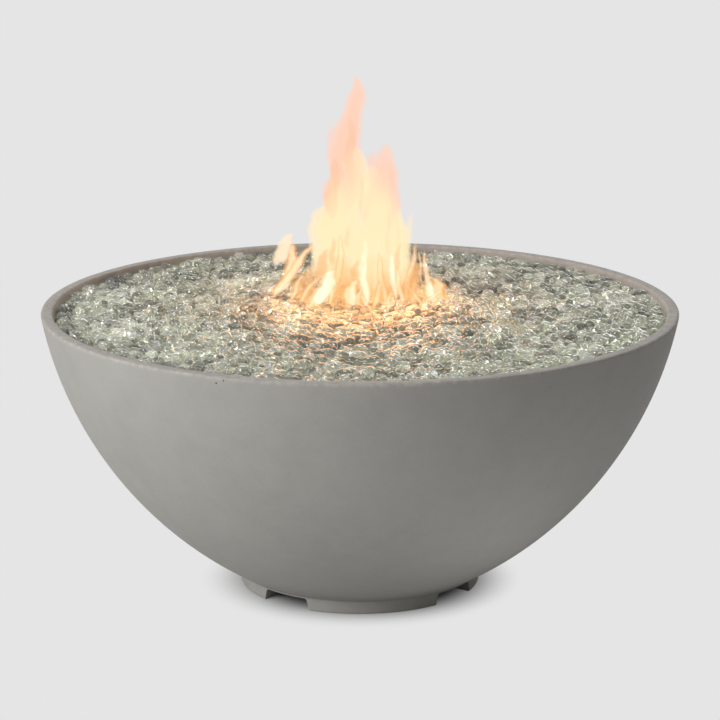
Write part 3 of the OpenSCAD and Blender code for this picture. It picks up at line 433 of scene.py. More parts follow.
def tumbled_glass():
    """Clear tumbled glass, melted round: smooth, a little cloudy, each gem of its own faint tint."""
    colour = tuple(settings().colours.glass)
    material, tree, output = new_material("tumbled_glass")
    gem = add_node(tree, "ShaderNodeNewGeometry")
    place = add_node(tree, "ShaderNodeTexCoord")
    tone = ramp(tree, gem, "Random Per Island", (0.0, shade(colour, 0.42)), (0.35, shade(colour, 0.84)),
                (0.7, shade(colour, 1.05)), (1.0, (1, 1, 1)))
    # Ripples of about 4 mm left by the melt
    ripple = noise(tree, place, 240.0, 1.0, 0.4)
    dimple = relief(tree, ripple, 0.015, 0.002)
    glass = add_node(tree, "ShaderNodeBsdfPrincipled",
                     {"Base_Color": (tone, "Color"), "Normal": (dimple, "Normal")},
                     Roughness=0.01, IOR=1.5, Transmission_Weight=0.90)
    clear = add_node(tree, "ShaderNodeBsdfTransparent", {"Color": (tone, "Color")})
    ray = add_node(tree, "ShaderNodeLightPath")
    both = add_node(tree, "ShaderNodeMixShader",
                    {0: (ray, "Is Shadow Ray"), 1: (glass, "BSDF"), 2: (clear, "BSDF")})
    tree.links.new(both.outputs[0], output.inputs["Surface"])
    return material


def packed_glass():
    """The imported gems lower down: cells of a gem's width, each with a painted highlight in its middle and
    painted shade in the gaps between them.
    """
    material, tree, output = new_material("packed_glass")
    place = add_node(tree, "ShaderNodeTexCoord")
    # Cells of about 14 mm
    cells = add_node(tree, "ShaderNodeTexVoronoi", {"Vector": (place, "Object")}, Scale=72.0, Randomness=1.0)
    # Painted light: pale in each cell's middle as a painted highlight, dark towards its edges as painted
    # shade where gems meet
    tone = ramp(tree, cells, "Distance", (0.05, hex_colour("#f2f2ec")), (0.35, hex_colour("#bcbcb2")),
                (0.62, hex_colour("#4e4d47")))
    round_gem = add_node(tree, "ShaderNodeBump", {"Height": (cells, "Distance")},
                         Strength=0.8, Distance=0.006, invert=True)
    skin(tree, output, {"Base_Color": (tone, "Color"), "Normal": (round_gem, "Normal")},
         Roughness=0.15, IOR=1.5)
    return material


def worked_metal(name, colour, roughness, grain=(1, 1, 1), scale=300.0):
    """Bare metal with fine tool marks: brushed along one way where grain is stretched, else sandy."""
    base = hex_colour(colour)
    material, tree, output = new_material(name)
    place = add_node(tree, "ShaderNodeTexCoord")
    turn = add_node(tree, "ShaderNodeMapping", {"Vector": (place, "Object")}, Scale=grain)
    marks = add_node(tree, "ShaderNodeTexNoise", {"Vector": (turn, "Vector")},
                     Scale=scale, Detail=4.0, Roughness=0.6)
    stains = noise(tree, place, 22.0, 3.0)
    tone = ramp(tree, stains, "Fac", (0.3, shade(base, 0.86)), (0.6, base), (0.8, shade(base, 1.06)))
    rough = spread(tree, marks, 0.25, 0.75, roughness * 0.7, roughness * 1.35)
    scratch = relief(tree, marks, 0.12, 0.0003)
    skin(tree, output,
         {"Base_Color": (tone, "Color"), "Roughness": (rough, "Result"), "Normal": (scratch, "Normal")},
         Metallic=1.0)
    return material


def moulded(name, colour, roughness, grain_mm, ior=1.5):
    """Moulded plastic, rubber or fired clay: one colour, its sheen broken by a fine texture."""
    base = hex_colour(colour)
    material, tree, output = new_material(name)
    place = add_node(tree, "ShaderNodeTexCoord")
    pits = noise(tree, place, 1000 / grain_mm, 2.0)
    wear = noise(tree, place, 60.0, 4.0)
    tone = ramp(tree, wear, "Fac", (0.35, shade(base, 0.88)), (0.65, shade(base, 1.08)))
    rough = spread(tree, wear, 0.3, 0.7, roughness * 0.85, roughness * 1.15)
    texture = relief(tree, pits, 0.15, 0.0003)
    skin(tree, output,
         {"Base_Color": (tone, "Color"), "Roughness": (rough, "Result"), "Normal": (texture, "Normal")},
         IOR=ior)
    return material


def dress(material, *nodes):
    """Give CAD nodes a finish."""
    for node in nodes:
        mesh = frame["nodes"][node].data
        mesh.materials.clear()
        mesh.materials.append(material)


# The cast bowl

def bowl_section(size):
    """Corners of the bowl's wall: up the inside, over the rim, down the outside and under the foot."""
    foot = Vector((size.foot_radius, size.foot_height))
    rim = Vector((size.rim_radius, size.height))
    chord = rim - foot
    away = math.sqrt(size.side_radius ** 2 - chord.length_squared / 4)
    centre = (foot + rim) / 2 + Vector((-chord.y, chord.x)).normalized() * away
    inner = size.side_radius - size.wall

    def across(radius, z):
        return centre.x + math.sqrt(radius ** 2 - (z - centre.y) ** 2)

    def along(radius, start, end, count):
        low = math.asin((start - centre.y) / radius)
        high = math.asin((end - centre.y) / radius)
        angles = [low + (high - low) * i / (count - 1) for i in range(count)]
        return [(centre.x + radius * math.cos(a), centre.y + radius * math.sin(a), 0) for a in angles]

    shelf = centre.y - math.sqrt(inner ** 2 - (size.ledge_radius - centre.x) ** 2)
    ring = size.foot_radius - size.foot_width
    edge = size.edge
    floor_corner = 0.012
    ledge_root = 0.006
    foot_corner = 0.005
    # Each arc stops short of the round corner at its end
    corners = [(size.opening_radius, size.floor_height, edge),
               (across(inner, size.floor_height), size.floor_height, floor_corner)]
    corners += along(inner, size.floor_height + 0.02, shelf - 0.004, 26)
    corners += [(size.ledge_radius, shelf, ledge_root),
                (size.ledge_radius, size.ledge_height, edge),
                (across(inner, size.ledge_height), size.ledge_height, edge)]
    corners += along(inner, size.ledge_height + 0.007, size.height - 0.007, 5)
    corners += [(across(inner, size.height), size.height, edge),
                (size.rim_radius, size.height, size.rim_edge)]
    corners += along(size.side_radius, size.height - 0.012, size.foot_height + 0.008, 44)
    corners += [(size.foot_radius, size.foot_height, foot_corner),
                (size.foot_radius, 0, edge),
                (ring, 0, edge),
                (ring, size.foot_height, foot_corner),
                (size.opening_radius, size.foot_height, edge)]
    return fillet(corners)


def notch_tool(size, angle):
    """Block that cuts one foot notch, with leaning sides and round inner corners."""
    over = 0.006
    through = 0.060
    corner = 0.004
    tall = size.notch_height + over
    wide = size.notch_width + 2 * over * math.tan(size.notch_draft)
    place = (0, size.foot_radius - size.foot_width / 2, size.notch_height - tall / 2)
    tool = block("notch_tool", (wide, through, tall), place)
    top = max(v.co.z for v in tool.data.vertices)
    pick_top(tool)
    narrow = 1 - 2 * tall * math.tan(size.notch_draft) / tool.dimensions.x
    bpy.ops.transform.resize(value=(narrow, 1, 1))

    def top_side(edge):
        a, b = (v.co for v in edge.verts)
        return abs(a.z - top) < 1e-5 and abs(b.z - top) < 1e-5 and abs(a.x - b.x) < 1e-5

    round_edges(tool, top_side, corner, 4)
    tool.rotation_euler = (0, 0, angle)
    return settle(tool)


# Pinholes that air left in the wall: angle round the bowl in degrees, height and width in mm
PINHOLES = (
    (-76.2, 464.8, 3.0),
    (-74.8, 470.4, 3.0),
    (-141.0, 418.0, 1.8),
    (-18.5, 447.0, 2.0),
    (38.0, 459.0, 2.4),
    (41.5, 396.0, 1.8),
    (122.0, 462.0, 2.2),
    (171.0, 341.0, 2.0),
    (212.0, 470.5, 2.2),
)


def pinhole_tool(size, angle, height, wide):
    """Small pebble, twice as deep as wide, that leaves one pinhole in the wall."""
    # The side leans in more the further it is below the rim
    rim_drop = size.height - height
    out = size.rim_radius - rim_drop * math.tan(math.radians(10.5 + rim_drop * 38))
    clear_selection()
    bpy.ops.mesh.primitive_ico_sphere_add(subdivisions=2, radius=wide / 2)
    tool = named("pinhole_tool")
    edit_all()
    bpy.ops.transform.vertex_random(offset=wide * 0.08, seed=int(height))
    leave_edit()
    tool.scale = (2, 1, 1)
    tool.rotation_euler = (0, 0, angle)
    tool.location = (out * math.cos(angle), out * math.sin(angle), height)
    return settle(tool)


# Cuts behind the control panel: width, height, corner radius and depths from and to, in metres
PANEL_POCKET = (0.122, 0.072, 0.009, -0.0065, 0.030)
PANEL_WINDOW = (0.0959, 0.046, 0.008, -0.060, 0.0)


def panel_tool(name, wide, tall, corner, low, high):
    """Round-cornered block in the control panel's own axes, from depth low to depth high."""
    tool = block(name, (wide, tall, high - low), (0, 0, (low + high) / 2))
    round_edges(tool, lambda e: abs(e.verts[0].co.z - e.verts[1].co.z) > 1e-4, corner, 8)
    tool.matrix_world = panel_place()
    return settle(tool)


def panel_place():
    """Matrix from the panel's axes, z out of the wall at its face, to the frame."""
    across = Vector((-1, 0, 0))
    up = PANEL_OUT.cross(across)
    turn = Matrix((across, up, PANEL_OUT)).transposed().to_4x4()
    return Matrix.Translation(Vector(PANEL_JOINT["pos_m"]) * Vector((0, 1, 1))) @ turn


class FIREBOWL_OT_cast_bowl(bpy.types.Operator):
    """Make the cast concrete bowl with its notched foot, panel pocket and pinholes"""

    bl_idname = "firebowl.cast_bowl"
    bl_label = "Cast bowl"

    def execute(self, context):
        size = settings().bowl
        bowl = turned("cast_bowl", bowl_section(size), size.steps)
        for quarter in range(4):
            cut_away(bowl, notch_tool(size, quarter * TURN / 4))
        cut_away(bowl, panel_tool("pocket_tool", *PANEL_POCKET))
        cut_away(bowl, panel_tool("window_tool", *PANEL_WINDOW))
        for angle, height, wide in PINHOLES:
            cut_away(bowl, pinhole_tool(size, math.radians(angle), height / 1000, wide / 1000))
        ring = size.foot_radius - size.foot_width
        near = 0.003

        def notch_edge(edge):
            a, b = (v.co for v in edge.verts)
            mid = (a + b) / 2
            off = min(abs(mid.x), abs(mid.y))
            inside = off < size.notch_width / 2 + 0.002 and mid.z < size.notch_height + 1e-4
            reach = mid.xy.length
            sharp = len(edge.link_faces) == 2 and edge.calc_face_angle(0) > 0.6
            return inside and sharp and ring - near < reach < size.foot_radius + near

        round_edges(bowl, notch_edge, 0.0012, 2, clamp_overlap=True)
        tidy_mesh(bowl, 35)
        bowl.data.materials.append(cast_concrete())
        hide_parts("bowl")
        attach(bowl, BASE)
        return {"FINISHED"}


# The glass fill

GEM_KINDS = 8


def gem_kind(index, cuts):
    """One gem: a small cube cut finer and rounded to a pebble, its corners pushed about."""
    clear_selection()
    bpy.ops.mesh.primitive_cube_add(size=2)
    gem = named("gem_kind")
    edit_all()
    bpy.ops.mesh.subdivide(number_cuts=cuts)
    bpy.ops.transform.tosphere(value=1.0)
    bpy.ops.transform.vertex_random(offset=0.04 / cuts, uniform=0.6, normal=0.3, seed=index)
    bpy.ops.mesh.vertices_smooth(factor=0.25)
    leave_edit()
    corners = np.array([v.co for v in gem.data.vertices])
    corners -= (corners.max(0) + corners.min(0)) / 2
    corners /= (corners.max(0) - corners.min(0)) / 2
    faces = np.array([list(p.vertices) for p in gem.data.polygons])
    bpy.data.objects.remove(gem)
    return corners, faces


class GemLayers:
    """Heights of the glass surface on a square grid, and the gems laid so far as rows of place and size."""

    CELL = 0.002

    def __init__(self, reach, floor):
        self.reach = reach
        self.half = int(math.ceil(reach / self.CELL)) + 14
        self.heights = np.full((2 * self.half + 1, 2 * self.half + 1), floor)
        self.rows = []

    def form(self, wide, tall):
        """Footprint of a gem on the grid: half span, height of its upper half, and where it covers."""
        span = int(math.ceil(wide / 2 / self.CELL))
        steps = np.arange(-span, span + 1) * self.CELL
        xs, ys = np.meshgrid(steps, steps, indexing="ij")
        inside = np.clip(1 - (xs ** 2 + ys ** 2) / (wide / 2) ** 2, 0, None)
        return span, np.sqrt(inside) * tall / 2, inside > 0

    def under(self, i, j, span):
        """Heights under a footprint."""
        return self.heights[i - span:i + span + 1, j - span:j + span + 1]

    def lay(self, i, j, z, wide, tall, fine):
        """Lay a gem with its middle at height z."""
        span, dome, covers = self.form(wide, tall)
        under = self.under(i, j, span)
        np.maximum(under, np.where(covers, z + dome, -1), out=under)
        self.rows.append(((i - self.half) * self.CELL, (j - self.half) * self.CELL, z, wide, tall, fine))

    def drop(self, wide, tall, tries, draws, highest, sunk=0.08, fine=True):
        """Drop a gem at the lowest of some random places, roll it downhill, and keep it below a height."""
        span, dome, covers = self.form(wide, tall)
        room = self.reach - wide * 0.45
        best = None
        for _ in range(tries):
            away = room * math.sqrt(draws.random())
            angle = draws.random() * TURN
            i = self.half + int(round(away * math.cos(angle) / self.CELL))
            j = self.half + int(round(away * math.sin(angle) / self.CELL))
            rest = (self.under(i, j, span) + dome)[covers].max()
            if best is None or rest < best[0]:
                best = (rest, i, j)
        rest, i, j = best
        for _ in range(8):
            moves = [(i + di, j + dj) for di, dj in ((1, 0), (-1, 0), (0, 1), (0, -1))
                     if math.hypot(i + di - self.half, j + dj - self.half) * self.CELL < room]
            rests = [((self.under(a, b, span) + dome)[covers].max(), a, b) for a, b in moves]
            lower = min(rests, default=best)
            if lower[0] > rest - 1e-6:
                break
            rest, i, j = lower
        if rest + tall / 2 < highest:
            self.lay(i, j, rest - tall * sunk, wide, tall, fine)


def crown_places():
    """Tops of the gems in the CAD layer: its points that stand clear of the hollows round them."""
    mesh = frame["nodes"]["glass_gems"].data
    points = np.unique(np.round([v.co for v in mesh.vertices], 5), axis=0)
    return points[points[:, 2] > points[:, 2].min() + 0.0035]


def lay_gems(fill, draws):
    """Lay a lower layer, the gems whose tops the CAD layer gives, and small ones between them."""
    layers = GemLayers(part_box("glass_gems")[1].x - 0.001, fill.bed_top)

    def gem_size(scale):
        wide = fill.gem_width * scale * min(max(draws.normal(1, fill.gem_spread), 0.66), 1.40)
        return wide, wide * fill.gem_flatness * draws.uniform(0.86, 1.16)

    crowns = crown_places()
    lowest = crowns[:, 2].min()
    top = settings().bowl.height
    for _ in range(int(fill.lower_share * len(crowns))):
        layers.drop(*gem_size(0.92), 10, draws, lowest - 0.005, fine=False)
    for x, y, z in crowns:
        # The middle lies about a quarter of the height below the crown, and a leaning gem stays under the rim
        wide, tall = gem_size(1.0)
        inside = min(1, (layers.reach - wide * 0.46) / max(math.hypot(x, y), 1e-6))
        i = layers.half + int(round(x * inside / layers.CELL))
        j = layers.half + int(round(y * inside / layers.CELL))
        middle = z - tall * min(max(draws.normal(0.24, 0.16), 0.02), 0.5)
        layers.lay(i, j, min(middle, top - tall * 0.68), wide, tall, True)
    for _ in range(int(fill.infill_share * len(crowns))):
        layers.drop(*gem_size(0.72), 14, draws, np.median(crowns[:, 2]), sunk=0.02)
    for _ in range(int(fill.proud_share * len(crowns))):
        layers.drop(*gem_size(1.04), 2, draws, top, sunk=0.25)
    return layers.rows


class FIREBOWL_OT_glass_gems(bpy.types.Operator):
    """Lay the loose glass gems in the bowl's mouth"""

    bl_idname = "firebowl.glass_gems"
    bl_label = "Glass gems"

    def execute(self, context):
        fill = settings().glass
        draws = np.random.default_rng(fill.seed)
        kinds = {}
        for fine, cuts in ((True, 2), (False, 1)):
            kinds[fine] = [gem_kind(i + 1, cuts) for i in range(GEM_KINDS)]
        quarters = {"front": [], "right": [], "back": [], "left": []}
        for row in lay_gems(fill, draws):
            x, y = row[:2]
            side = ("right" if x > 0 else "left") if abs(x) > abs(y) else ("back" if y > 0 else "front")
            quarters[side].append(row)
        glass = tumbled_glass()
        for side, gems in quarters.items():
            points, faces, start = [], [], 0
            for x, y, z, wide, tall, fine in gems:
                corners, quads = kinds[fine][draws.integers(GEM_KINDS)]
                turn = Matrix.Rotation(draws.uniform(0, TURN), 3, "Z")
                lean = Matrix.Rotation(min(max(draws.normal(0, 0.25), -0.4), 0.4), 3, "X")
                spin = Matrix.Rotation(draws.uniform(0, TURN), 3, "Z")
                size = np.array((wide * draws.uniform(0.95, 1.15), wide * draws.uniform(0.8, 1), tall)) / 2
                points.append(corners * size @ np.array(turn @ lean @ spin).T + np.array((x, y, z)))
                faces.append(quads + start)
                start += len(corners)
            clear_selection()
            bpy.ops.mesh.primitive_cube_add(size=0.01)
            piece = named("glass_gems_" + side)
            piece.data.clear_geometry()
            piece.data.from_pydata(np.concatenate(points).tolist(), [], np.concatenate(faces).tolist())
            bpy.ops.object.shade_smooth()
            piece.data.materials.append(glass)
            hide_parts("glass_gems")
            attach(piece, BASE)
        return {"FINISHED"}


class FIREBOWL_OT_glass_bed(bpy.types.Operator):
    """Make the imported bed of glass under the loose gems"""

    bl_idname = "firebowl.glass_bed"
    bl_label = "Glass bed"

    def execute(self, context):
        fill = settings().glass
        low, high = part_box("fire_glass")
        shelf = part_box("burner_pan")[1].z
        edge = high.x - 0.002
        rings = [(edge * i / 60, fill.bed_top, 0) for i in range(60, 0, -1)]
        # The pan's well narrows a little towards its floor, and the bed keeps clear of the pan
        well_floor = 0.195
        well_mouth = 0.198
        hub = 0.004
        clear = 0.001
        bottom = low.z + clear
        ledge = shelf + clear
        section = [(well_floor, bottom, 0), (well_mouth, ledge, 0), (edge - 0.006, ledge, 0)]
        section += rings + [(hub, bottom, 0)]
        bed = turned("glass_bed", fillet(section), 192)
        bed.data.materials.append(packed_glass())
        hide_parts("fire_glass")
        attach(bed, BASE)
        return {"FINISHED"}


class FIREBOWL_OT_gas_works(bpy.types.Operator):
    """Give the metal, plastic and ceramic parts of the gas works their finishes"""

    bl_idname = "firebowl.gas_works"
    bl_label = "Gas works"

    def execute(self, context):
        brushed = worked_metal("brushed_stainless", "#c4c3c0", 0.32, (1, 0.04, 1), 900.0)
        dress(brushed, "control_panel", "burner_pan", "burner", "burner_legs", "inlet_strap", "pilot_bracket")
        ribbed = worked_metal("ribbed_stainless", "#bfbfbd", 0.26)
        dress(ribbed, "flex_line")
        drawn = worked_metal("drawn_steel", "#b9b8b4", 0.24)
        dress(drawn, "valve_stem", "stem_spring", "button_spring", "electrode_rod")
        zinc = worked_metal("zinc_plated_steel", "#c2c6c9", 0.34, scale=700.0)
        dress(zinc, "pan_screws", "leg_screws", "leg_nuts", "strap_screws", "panel_screws", "valve_screws",
              "igniter_nut", "pilot_screws", "pilot_nuts", "gas_nipple", "nipple_locknuts", "feed_elbow",
              "inlet_locknut", "safety_magnet")
        brass = worked_metal("turned_brass", "#c9a45c", 0.28)
        dress(brass, "air_mixer", "gas_orifice", "union_nuts", "inlet_fitting", "panel_anchors", "valve_body",
              "valve_bonnet", "valve_plug")
        copper = worked_metal("drawn_copper", "#c07a54", 0.30)
        dress(copper, "supply_line", "thermocouple", "thermocouple_lead")
        dress(moulded("moulded_black_plastic", "#1c1c1d", 0.42, 0.6), "control_knob", "igniter_barrel")
        dress(worked_metal("polished_chrome", "#d8d9da", 0.12), "igniter_button")
        dress(moulded("printed_battery_sleeve", "#2c2f33", 0.35, 0.8), "igniter_battery")
        dress(moulded("silicone_wire_sleeve", "#8c2b20", 0.5, 0.5), "ignition_wire")
        dress(moulded("fired_alumina", "#ece9e0", 0.4, 0.4, 1.7), "electrode_ceramic")
        return {"FINISHED"}


def node_in_panel(node):
    """Lowest and highest corner of a CAD node in the control panel's axes."""
    turn = panel_place().inverted()
    places = np.array([turn @ v.co for v in frame["nodes"][node].data.vertices])
    return Vector(places.min(0)), Vector(places.max(0))


class FIREBOWL_OT_control_knob(bpy.types.Operator):
    """Model the control knob: a skirt, a fluted grip and a fin that points"""

    bl_idname = "firebowl.control_knob"
    bl_label = "Control knob"

    def execute(self, context):
        size = settings().controls
        grip = size.grip_width / 2
        clear_selection()
        bpy.ops.mesh.primitive_cylinder_add(
            vertices=4 * size.flutes, radius=size.knob_width / 2, depth=size.skirt_height,
            location=(0, 0, size.skirt_height / 2))
        knob = settle(named("fluted_knob"))
        pick_top(knob)
        bpy.ops.mesh.inset(thickness=size.knob_width / 2 - grip)
        rise = size.knob_height - size.skirt_height
        bpy.ops.mesh.extrude_region_move(TRANSFORM_OT_translate={"value": (0, 0, rise)})
        taper = 0.9
        bpy.ops.transform.resize(value=(taper, taper, 1))
        leave_edit()
        for vertex in knob.data.vertices:
            if vertex.co.z > size.skirt_height - 1e-5 and vertex.co.xy.length < grip + 1e-4:
                flute = 0.965 + 0.035 * math.cos(size.flutes * math.atan2(vertex.co.y, vertex.co.x))
                vertex.co.xy = vertex.co.xy * flute

        def outer_edge(edge):
            a, b = (v.co for v in edge.verts)
            level = abs(a.z - b.z) < 1e-5
            crown = a.z > size.knob_height - 1e-5
            skirt = abs(a.z - size.skirt_height) < 1e-5 and min(a.xy.length, b.xy.length) > grip + 0.002
            return level and (crown or skirt)

        round_edges(knob, outer_edge, 0.0011, 3, clamp_overlap=True)
        # The fin runs from inside the grip to just short of the skirt's edge
        inside = grip - 0.004
        outside = size.knob_width / 2 - 0.002
        top = size.knob_height - 0.0006
        bottom = size.skirt_height / 2
        fin = block("pointer_fin", (size.pointer_width, outside - inside, top - bottom),
                    (0, (inside + outside) / 2, (top + bottom) / 2))
        round_edges(fin, lambda edge: True, 0.0006, 2)
        finish_with(knob, "BOOLEAN", operation="UNION", solver="EXACT", object=fin)
        bpy.data.objects.remove(fin)
        clear_selection()
        bpy.ops.mesh.primitive_cylinder_add(
            vertices=32, radius=size.stem_width / 2 + 0.0003, depth=0.016, location=(0, 0, 0.007))
        cut_away(knob, settle(named("stem_bore_tool")))
        low, high = node_in_panel("control_knob")
        knob.matrix_world = panel_place() @ Matrix.Translation(((low.x + high.x) / 2, 0, low.z))
        settle(knob)
        tidy_mesh(knob, 40)
        knob.data.materials.append(bpy.data.materials["moulded_black_plastic"])
        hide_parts("control_knob")
        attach(knob, "knob")
        return {"FINISHED"}


# Return springs: CAD node, body, joint that shortens it, wire radius in mm and turns
RETURN_SPRINGS = (
    ("stem_spring", "valve_plug", "knob_push", 0.35, 5),
    ("button_spring", BASE, "igniter_press", 0.4, 2.5),
)


class FIREBOWL_OT_return_springs(bpy.types.Operator):
    """Wind the springs behind the knob and the button, each riding on its body"""

    bl_idname = "firebowl.return_springs"
    bl_label = "Return springs"

    def execute(self, context):
        for node, body, joint_name, wire_mm, turns in RETURN_SPRINGS:
            wire = wire_mm / 1000
            low, high = node_in_panel(node)
            room = high.z - low.z
            seat = Vector(((low.x + high.x) / 2, (low.y + high.y) / 2, low.z))
            clear_selection()
            coil = (high.x - low.x) / 2 - wire
            bpy.ops.mesh.primitive_circle_add(
                vertices=8, radius=wire, rotation=(math.pi / 2, 0, 0), location=(coil, 0, wire))
            spring = settle(named(node + "_coil"))
            steps = int(20 * turns)
            finish_with(spring, "SCREW", angle=TURN * turns, screw_offset=room - 2 * wire, iterations=1,
                        steps=steps, render_steps=steps)
            edit_all()
            bpy.ops.mesh.fill_holes(sides=0)
            leave_edit()
            spring.matrix_world = panel_place() @ Matrix.Translation(seat)
            settle(spring)
            tidy_mesh(spring, 60)
            spring.data.materials.append(bpy.data.materials["drawn_steel"])
            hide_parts(node)
            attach(spring, body)
            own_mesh(spring)
        return {"FINISHED"}


# The picture: floor, light, camera and flame

def aim(obj, place, target):
    """Stand a lamp or camera at a place, looking at a target."""
    obj.location = place
    obj.rotation_euler = (Vector(target) - Vector(place)).to_track_quat("-Z", "Y").to_euler()


def add_lamp(name, kind, place, target, power, size, colour=(1, 1, 1)):
    """Add a lamp of a size in metres and a power in watts."""
    clear_selection()
    bpy.ops.object.light_add(type=kind)
    lamp = named(name)
    lamp.data.energy = power
    lamp.data.color = colour
    if kind == "AREA":
        lamp.data.size = size
    else:
        lamp.data.shadow_soft_size = size
    lamp.visible_camera = False
    aim(lamp, place, target)


def sharp_rays(tree):
    """Node that is 1 for what the camera sees, also in a reflection or through glass."""
    ray = add_node(tree, "ShaderNodeLightPath")
    mirrored = add_node(tree, "ShaderNodeMath", {0: (ray, "Is Camera Ray"), 1: (ray, "Is Glossy Ray")},
                        operation="MAXIMUM")
    return add_node(tree, "ShaderNodeMath", {0: (mirrored, 0), 1: (ray, "Is Transmission Ray")},
                    operation="MAXIMUM")


# Studio lamps: metres to the right of the bowl, beyond it and above the floor, watts, and width in metres
LAMPS = (
    ("key_lamp", -3.0, -2.2, 1.7, 117, 1.8),
    ("top_lamp", 0.0, 0.8, 3.2, 26, 0.8),
    ("back_lamp", 1.3, 2.8, 0.9, 12, 1.4),
)


class FIREBOWL_OT_stage(bpy.types.Operator):
    """Set up the floor, the light and the camera of the picture"""

    bl_idname = "firebowl.stage"
    bl_label = "Stage"

    def execute(self, context):
        view = settings().stage
        pale = tuple(settings().colours.backdrop)
        scene = context.scene
        scene.view_settings.view_transform = "Standard"
        clear_selection()
        bpy.ops.mesh.primitive_plane_add(size=24, location=(0, 0, -0.0005))
        floor = named("pale_floor")
        material, tree, output = new_material("pale_floor")
        place = add_node(tree, "ShaderNodeTexCoord")
        away = add_node(tree, "ShaderNodeVectorMath", {0: (place, "Object")}, operation="LENGTH")
        # The floor is one flat tone to the eye, apart from the bowl's shadow and a painted shadow under the
        # bowl
        near = add_node(tree, "ShaderNodeMapRange", {"Value": (away, "Value")},
                        interpolation_type="SMOOTHSTEP", From_Min=0.16, From_Max=0.28)
        seen = add_node(tree, "ShaderNodeMath", {0: (near, "Result"), 1: (sharp_rays(tree), 0)},
                        operation="MULTIPLY")
        # Painted shadow: the floor's colour darkens to about a third towards the middle under the bowl, which
        # also dims the light bounced up onto it
        tone = ramp(tree, near, "Result", (0.0, shade(pale, 0.35)), (1.0, pale))
        matt = add_node(tree, "ShaderNodeBsdfDiffuse", {"Color": (tone, "Color")})
        flat = add_node(tree, "ShaderNodeEmission", Color=(*pale, 1), Strength=1.0)
        both = add_node(tree, "ShaderNodeMixShader", {0: (seen, 0), 1: (matt, "BSDF"), 2: (flat, "Emission")})
        tree.links.new(both.outputs[0], output.inputs["Surface"])
        floor.data.materials.append(material)

        world = bpy.data.worlds.new("soft_room")
        scene.world = world
        world.use_nodes = True
        tree = world.node_tree
        tree.nodes.clear()
        output = tree.nodes.new("ShaderNodeOutputWorld")
        fill = add_node(tree, "ShaderNodeBackground", Color=(1, 1, 1, 1), Strength=0.25)
        back = add_node(tree, "ShaderNodeBackground", Color=(*pale, 1), Strength=1.0)
        both = add_node(tree, "ShaderNodeMixShader", {0: (sharp_rays(tree), 0), 1: (fill, 0), 2: (back, 0)})
        tree.links.new(both.outputs[0], output.inputs["Surface"])

        right = Vector((math.cos(view.camera_turn), math.sin(view.camera_turn), 0))
        ahead = Vector((-right.y, right.x, 0))
        target = (0, 0, 0.30)
        for name, across, beyond, up, power, size in LAMPS:
            place = right * across + ahead * beyond + Vector((0, 0, up))
            add_lamp(name, "AREA", place, target, power, size)
        # A weak lamp on the floor lights the bowl from below
        bounce = right * 0.35 - ahead * 0.55 + Vector((0, 0, 0.01))
        add_lamp("bounce_lamp", "AREA", bounce, bounce + Vector((0, 0, 1)), 0.36, 0.5)

        clear_selection()
        bpy.ops.object.camera_add()
        camera = named("photo_camera")
        camera.location = -ahead * view.camera_reach + Vector((0, 0, view.camera_height))
        camera.rotation_euler = (math.pi / 2 - view.camera_pitch, 0, view.camera_turn)
        camera.data.sensor_width = 36
        camera.data.lens = view.lens
        camera.data.clip_end = 100
        scene.camera = camera
        return {"FINISHED"}


# Height from which the tongues are measured, in mm
BURNER_LEVEL = 456
